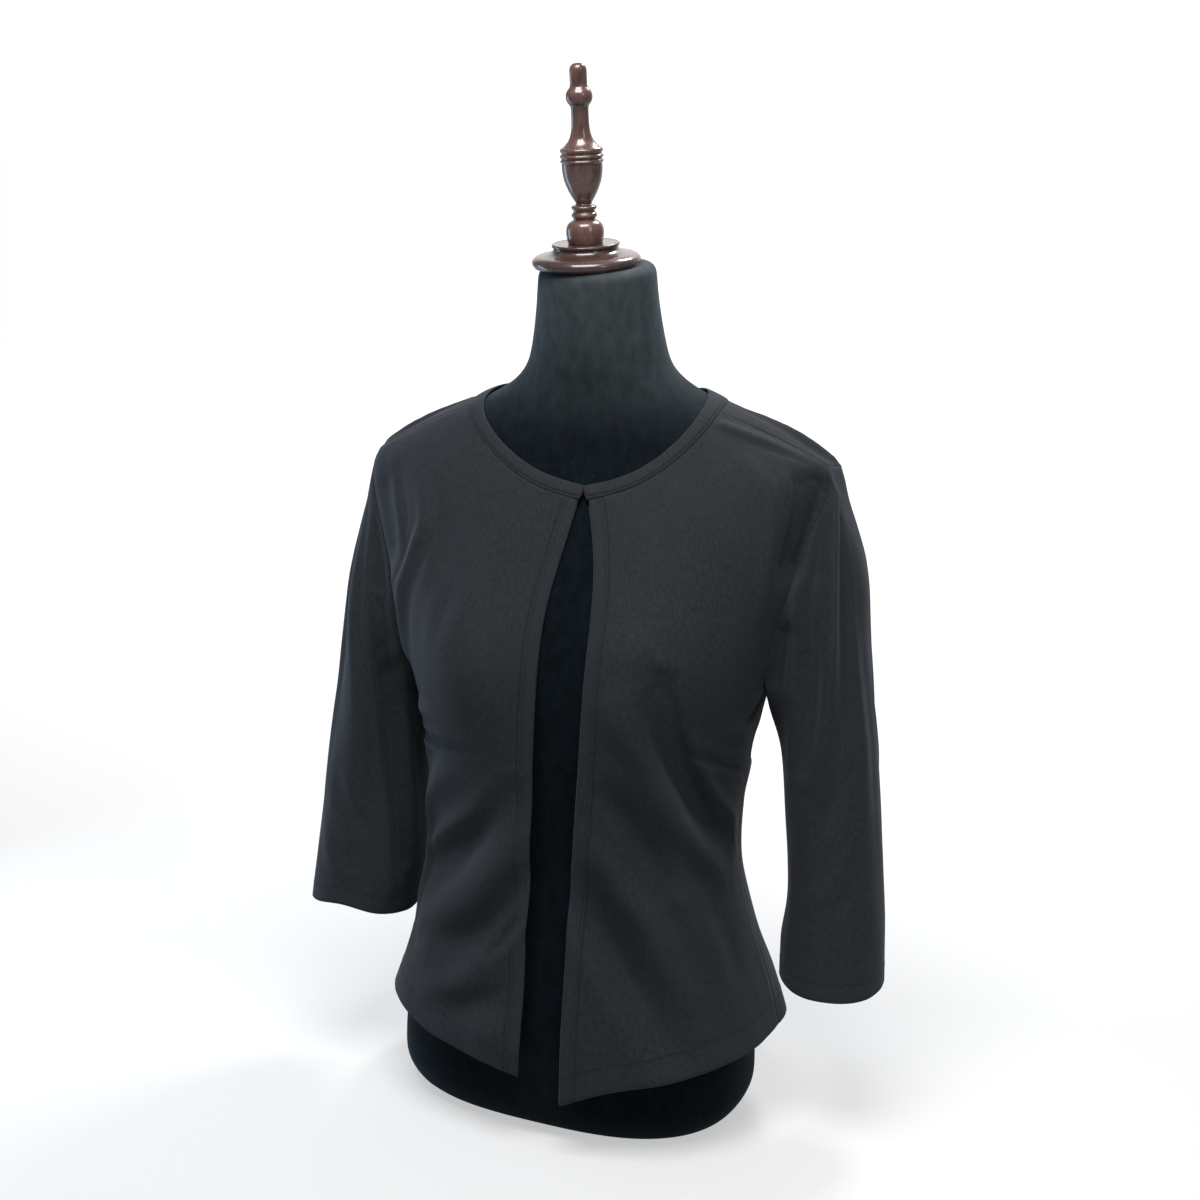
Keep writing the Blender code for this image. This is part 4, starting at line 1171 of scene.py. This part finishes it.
class CARDIGAN_OT_cloth(bpy.types.Operator):
    """Shapes the panels and sleeves, with their creases, thickness and stitches"""

    bl_idname = "cardigan.cloth"
    bl_label = "Panels and sleeves"

    def execute(self, context):
        form = form_tree()
        for node in PANELS:
            CLOTHS[node] = Cloth(node, FORM_AXIS, THIN_FACE, CLOTH_LEVELS)
        for node in SLEEVES:
            side = 1 if node.endswith("left") else -1
            axis = (side * SLEEVE_AXIS[0], SLEEVE_AXIS[1])
            CLOTHS[node] = Cloth(node, axis, THIN_FACE, CLOTH_LEVELS)
        CLOTHS["neck_binding"] = Cloth("neck_binding", FORM_AXIS, 0, BINDING_LEVELS)
        for node, cloth in CLOTHS.items():
            find_free_edges(cloth, [other for key, other in CLOTHS.items() if key != node])
        close_seams(CLOTHS)
        for node in PANELS + SLEEVES:
            finish_cloth(node, CLOTHS[node], form)
        return {"FINISHED"}


def finish_cloth(node, cloth, form):
    """Folds one panel or sleeve, gives it its thickness and sews its hems."""
    size, sleeve = sizes(), node in SLEEVES
    cloth.relax()
    cloth.push()
    seam_away, hem_away, edge_away = (
        cloth.away_from(line) for line in (cloth.seams, cloth.hems, cloth.edges)
    )
    places = on_arm(cloth.points) if sleeve else on_body(cloth.points)
    width = TURN_WIDTH if sleeve else DEGREE_WIDTH
    draw_creases(cloth, places, width, 360 * width, np.clip(seam_away / CREASE_FADE, 0, 1))
    tuck = SEAM_TUCK * np.exp(-((seam_away / SEAM_REACH) ** 2))
    cloth.points = cloth.points - cloth.normals() * tuck[:, None]
    free = np.minimum(hem_away / size.hem_band, edge_away / size.edge_band)
    turned_in = np.clip((TURNED_END - free) / TURNED_EASE, 0, 1)
    thickness = size.thickness + size.turned_in * turned_in
    if not sleeve:
        keep_clear(cloth, form, thickness.max() + FORM_CLEARANCE)
    cloth.marks = {"hem_away": hem_away, "edge_away": edge_away, "seam_away": seam_away}
    piece = thick_mesh(cloth, node + "_cloth", thickness, places, TURN_ROUND if sleeve else 0)
    band = size.cuff_band if sleeve else size.hem_band
    bands, rows = [("hem_away", band, True)], [(*ordered_line(cloth, cloth.hems), band)]
    if not sleeve and len(cloth.edges):
        bands.append(("edge_away", size.edge_stitches, False))
        bands.append(("edge_away", size.edge_band, True))
    if node.startswith("front"):
        rows.append((*ordered_line(cloth, cloth.edges), size.edge_stitches))
    thread = sew(node + "_stitches", rows, cloth)
    settle(piece, jersey_material("jersey_" + node, bands), node)


class CARDIGAN_OT_binding(bpy.types.Operator):
    """Rolls the padded binding round the neck"""

    bl_idname = "cardigan.binding"
    bl_label = "Neck binding"

    def execute(self, context):
        cloth = CLOTHS["neck_binding"]
        seams, free = cloth.away_from(cloth.seams), cloth.away_from(cloth.edges)
        share = seams / np.maximum(seams + free, 1e-6)
        crown = BINDING_CROWN * np.sin(np.pi * np.clip(share, 0, 1)) ** BINDING_ROUND
        cloth.points = cloth.points + cloth.normals() * (crown - BINDING_SUNK)[:, None]
        cloth.marks = {"seam_away": seams, "edge_away": free}
        thickness = np.full(len(cloth.points), BINDING_THICK)
        places = on_body(cloth.points)
        piece = thick_mesh(cloth, "neck_binding_cloth", thickness, places, 0)
        jersey = jersey_material("jersey_binding", [("seam_away", BINDING_LINE, False)])
        settle(piece, jersey, "neck_binding")
        return {"FINISHED"}


def wire_tube(points):
    """A round wire along a path, closed at its ends."""
    path = smooth_path(points, WIRE_RING * len(points))
    along = unit(np.gradient(path, axis=0))
    up = np.array([0.0, -1.0, 0.2])
    turns = np.linspace(0, 2 * np.pi, WIRE_RING, endpoint=False)
    places = []
    for centre, way in zip(path, along):
        across = unit(np.cross(up, way))
        above = np.cross(way, across)
        round_it = (across * math.cos(turn) + above * math.sin(turn) for turn in turns)
        places.extend(centre + out * WIRE_THICK for out in round_it)
    faces = quads_between(len(path), WIRE_RING)
    faces.append(tuple(reversed(range(WIRE_RING))))
    last = (len(path) - 1) * WIRE_RING
    faces.append(tuple(last + step for step in range(WIRE_RING)))
    return places, faces


class CARDIGAN_OT_hook(bpy.types.Operator):
    """Bends the flat hook and eye that close the neck"""

    bl_idname = "cardigan.hook"
    bl_label = "Hook and eye"

    def execute(self, context):
        low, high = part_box("neck_hook")
        middle, half = (low + high) / 2, (high - low) / 2
        points, faces = [], []
        for outline in HOOK_WIRES:
            path = [(middle.x + half.x * a, middle.y, middle.z + half.z * b) for a, b in outline]
            places, quads = wire_tube(path)
            faces.extend(tuple(corner + len(points) for corner in quad) for quad in quads)
            points.extend(places)
        piece = meshed("hook_and_eye", points, faces)
        settle(piece, enamel_material(), "neck_hook")
        return {"FINISHED"}


def area_light(name, place, aim, size, watts, colour):
    data = bpy.data.lights.new(name, "AREA")
    data.shape = "RECTANGLE"
    data.size, data.size_y = size
    data.energy = watts
    data.color = colour
    lamp = fresh_object(name, data)
    lamp.visible_camera = False
    lamp.location = place
    lamp.rotation_euler = (Vector(aim) - Vector(place)).to_track_quat("-Z", "Y").to_euler()


class CARDIGAN_OT_stage(bpy.types.Operator):
    """Sets the camera, the lights, the floor and the backdrop"""

    bl_idname = "cardigan.stage"
    bl_label = "Studio"

    def execute(self, context):
        scene = context.scene
        azimuth, elevation = math.radians(CAMERA["azimuth"]), math.radians(CAMERA["elevation"])
        roll = math.radians(CAMERA["roll"])
        right = Vector((math.cos(azimuth), math.sin(azimuth), 0))
        back = Vector((math.sin(azimuth) * math.cos(elevation),
                       -math.cos(azimuth) * math.cos(elevation), math.sin(elevation)))
        up = back.cross(right)
        aim = Vector(CAMERA["aim"]) + right * CAMERA["aside"] + Vector((0, 0, CAMERA["up"]))
        right, up = (right * math.cos(roll) + up * math.sin(roll),
                     up * math.cos(roll) - right * math.sin(roll))
        data = bpy.data.cameras.new("photo_view")
        data.sensor_width = 36
        data.lens = CAMERA["focal_pixels"] * data.sensor_width / CAMERA["picture_pixels"]
        camera = fresh_object("photo_view", data)
        place = aim + back * CAMERA["distance"]
        camera.matrix_world = Matrix((
            (right.x, up.x, back.x, place.x), (right.y, up.y, back.y, place.y),
            (right.z, up.z, back.z, place.z), (0, 0, 0, 1),
        ))
        scene.camera = camera

        profile = [(FLOOR_FROM, 0.0), (0.0, 0.0)]
        for turn in np.linspace(0, math.pi / 2, SWEEP_STEPS):
            out, rise = math.sin(turn), 1 - math.cos(turn)
            profile.append((SWEEP_FROM + SWEEP_RADIUS * out, SWEEP_RADIUS * rise))
        profile.append((SWEEP_FROM + SWEEP_RADIUS, WALL_TOP))
        points = [(side * BACKDROP_HALF, y, z) for y, z in profile for side in (-1, 1)]
        faces = [(2 * k, 2 * k + 1, 2 * k + 3, 2 * k + 2) for k in range(len(profile) - 1)]
        backdrop = meshed("backdrop", points, faces)
        backdrop.data.materials.append(backdrop_material())

        scene.world = studio_world()
        for lamp in LAMPS:
            area_light(*lamp)
        scene.view_settings.view_transform = "Standard"
        return {"FINISHED"}


def glow_for_the_eye(tree, end, shown, other):
    """One shader for what the camera sees directly and another for all other light."""
    path = tree.nodes.new("ShaderNodeLightPath").outputs
    choice = wire(tree, "ShaderNodeMixShader", Fac=path["Is Camera Ray"], i1=other, i2=shown)
    tree.links.new(choice.outputs[0], end.inputs["Surface"])


def studio_world():
    """A white surround that lights the piece only softly."""
    world = bpy.data.worlds.new("studio")
    world.use_nodes = True
    tree = world.node_tree
    tree.nodes.clear()
    seen, lit = (
        wire(tree, "ShaderNodeBackground", {"Strength": strength, "Color": (*colour, 1)}).outputs[0]
        for strength, colour in ((WORLD_SEEN, (1, 1, 1)), (WORLD_LIGHT, WORLD_COLOUR))
    )
    glow_for_the_eye(tree, tree.nodes.new("ShaderNodeOutputWorld"), seen, lit)
    return world


def backdrop_material():
    """Pale paper that catches the soft shadow but throws little light back up."""
    base = tuple(finishes().backdrop)
    material, tree, shader = new_material("paper_backdrop", {
        "Specular IOR Level": 0.0, "Roughness": 0.95,
    })
    fibre = blotches(tree, object_place(tree), 220.0, 3.0)
    feed(tree, shader, {"Base Color": tones(tree, fibre, scaled(base, 0.99), scaled(base, 1.01))})
    glow = wire(tree, "ShaderNodeEmission", {"Strength": BACKDROP_GLOW}).outputs[0]
    both = wire(tree, "ShaderNodeAddShader", i0=shader.outputs[0], i1=glow).outputs[0]
    glow_for_the_eye(tree, tree.nodes["Material Output"], both, shader.outputs[0])
    return material


class CARDIGAN_PT_panel(bpy.types.Panel):
    """Lists the steps and the sizes"""

    bl_idname = "CARDIGAN_PT_panel"
    bl_label = "Cardigan"
    bl_space_type = "VIEW_3D"
    bl_region_type = "UI"
    bl_category = "Cardigan"

    def draw(self, context):
        for group in (context.scene.cardigan_cloth, context.scene.cardigan_finish):
            for name in group.__annotations__:
                self.layout.prop(group, name)
        for step in STEPS:
            self.layout.operator(step.bl_idname)


STEPS = (
    CARDIGAN_OT_form, CARDIGAN_OT_cap, CARDIGAN_OT_cloth, CARDIGAN_OT_binding, CARDIGAN_OT_hook,
    CARDIGAN_OT_stage,
)
CLASSES = (CardiganCloth, CardiganFinish, *STEPS, CARDIGAN_PT_panel)


def register():
    for part in CLASSES:
        bpy.utils.register_class(part)
    bpy.types.Scene.cardigan_cloth = PointerProperty(type=CardiganCloth)
    bpy.types.Scene.cardigan_finish = PointerProperty(type=CardiganFinish)


def unregister():
    del bpy.types.Scene.cardigan_finish
    del bpy.types.Scene.cardigan_cloth
    for part in reversed(CLASSES):
        bpy.utils.unregister_class(part)


def main():
    register()
    bpy.ops.cardigan.form()
    bpy.ops.cardigan.cap()
    bpy.ops.cardigan.cloth()
    bpy.ops.cardigan.binding()
    bpy.ops.cardigan.hook()
    bpy.ops.cardigan.stage()
    bpy.context.view_layer.update()


if __name__ == "__main__":
    main()
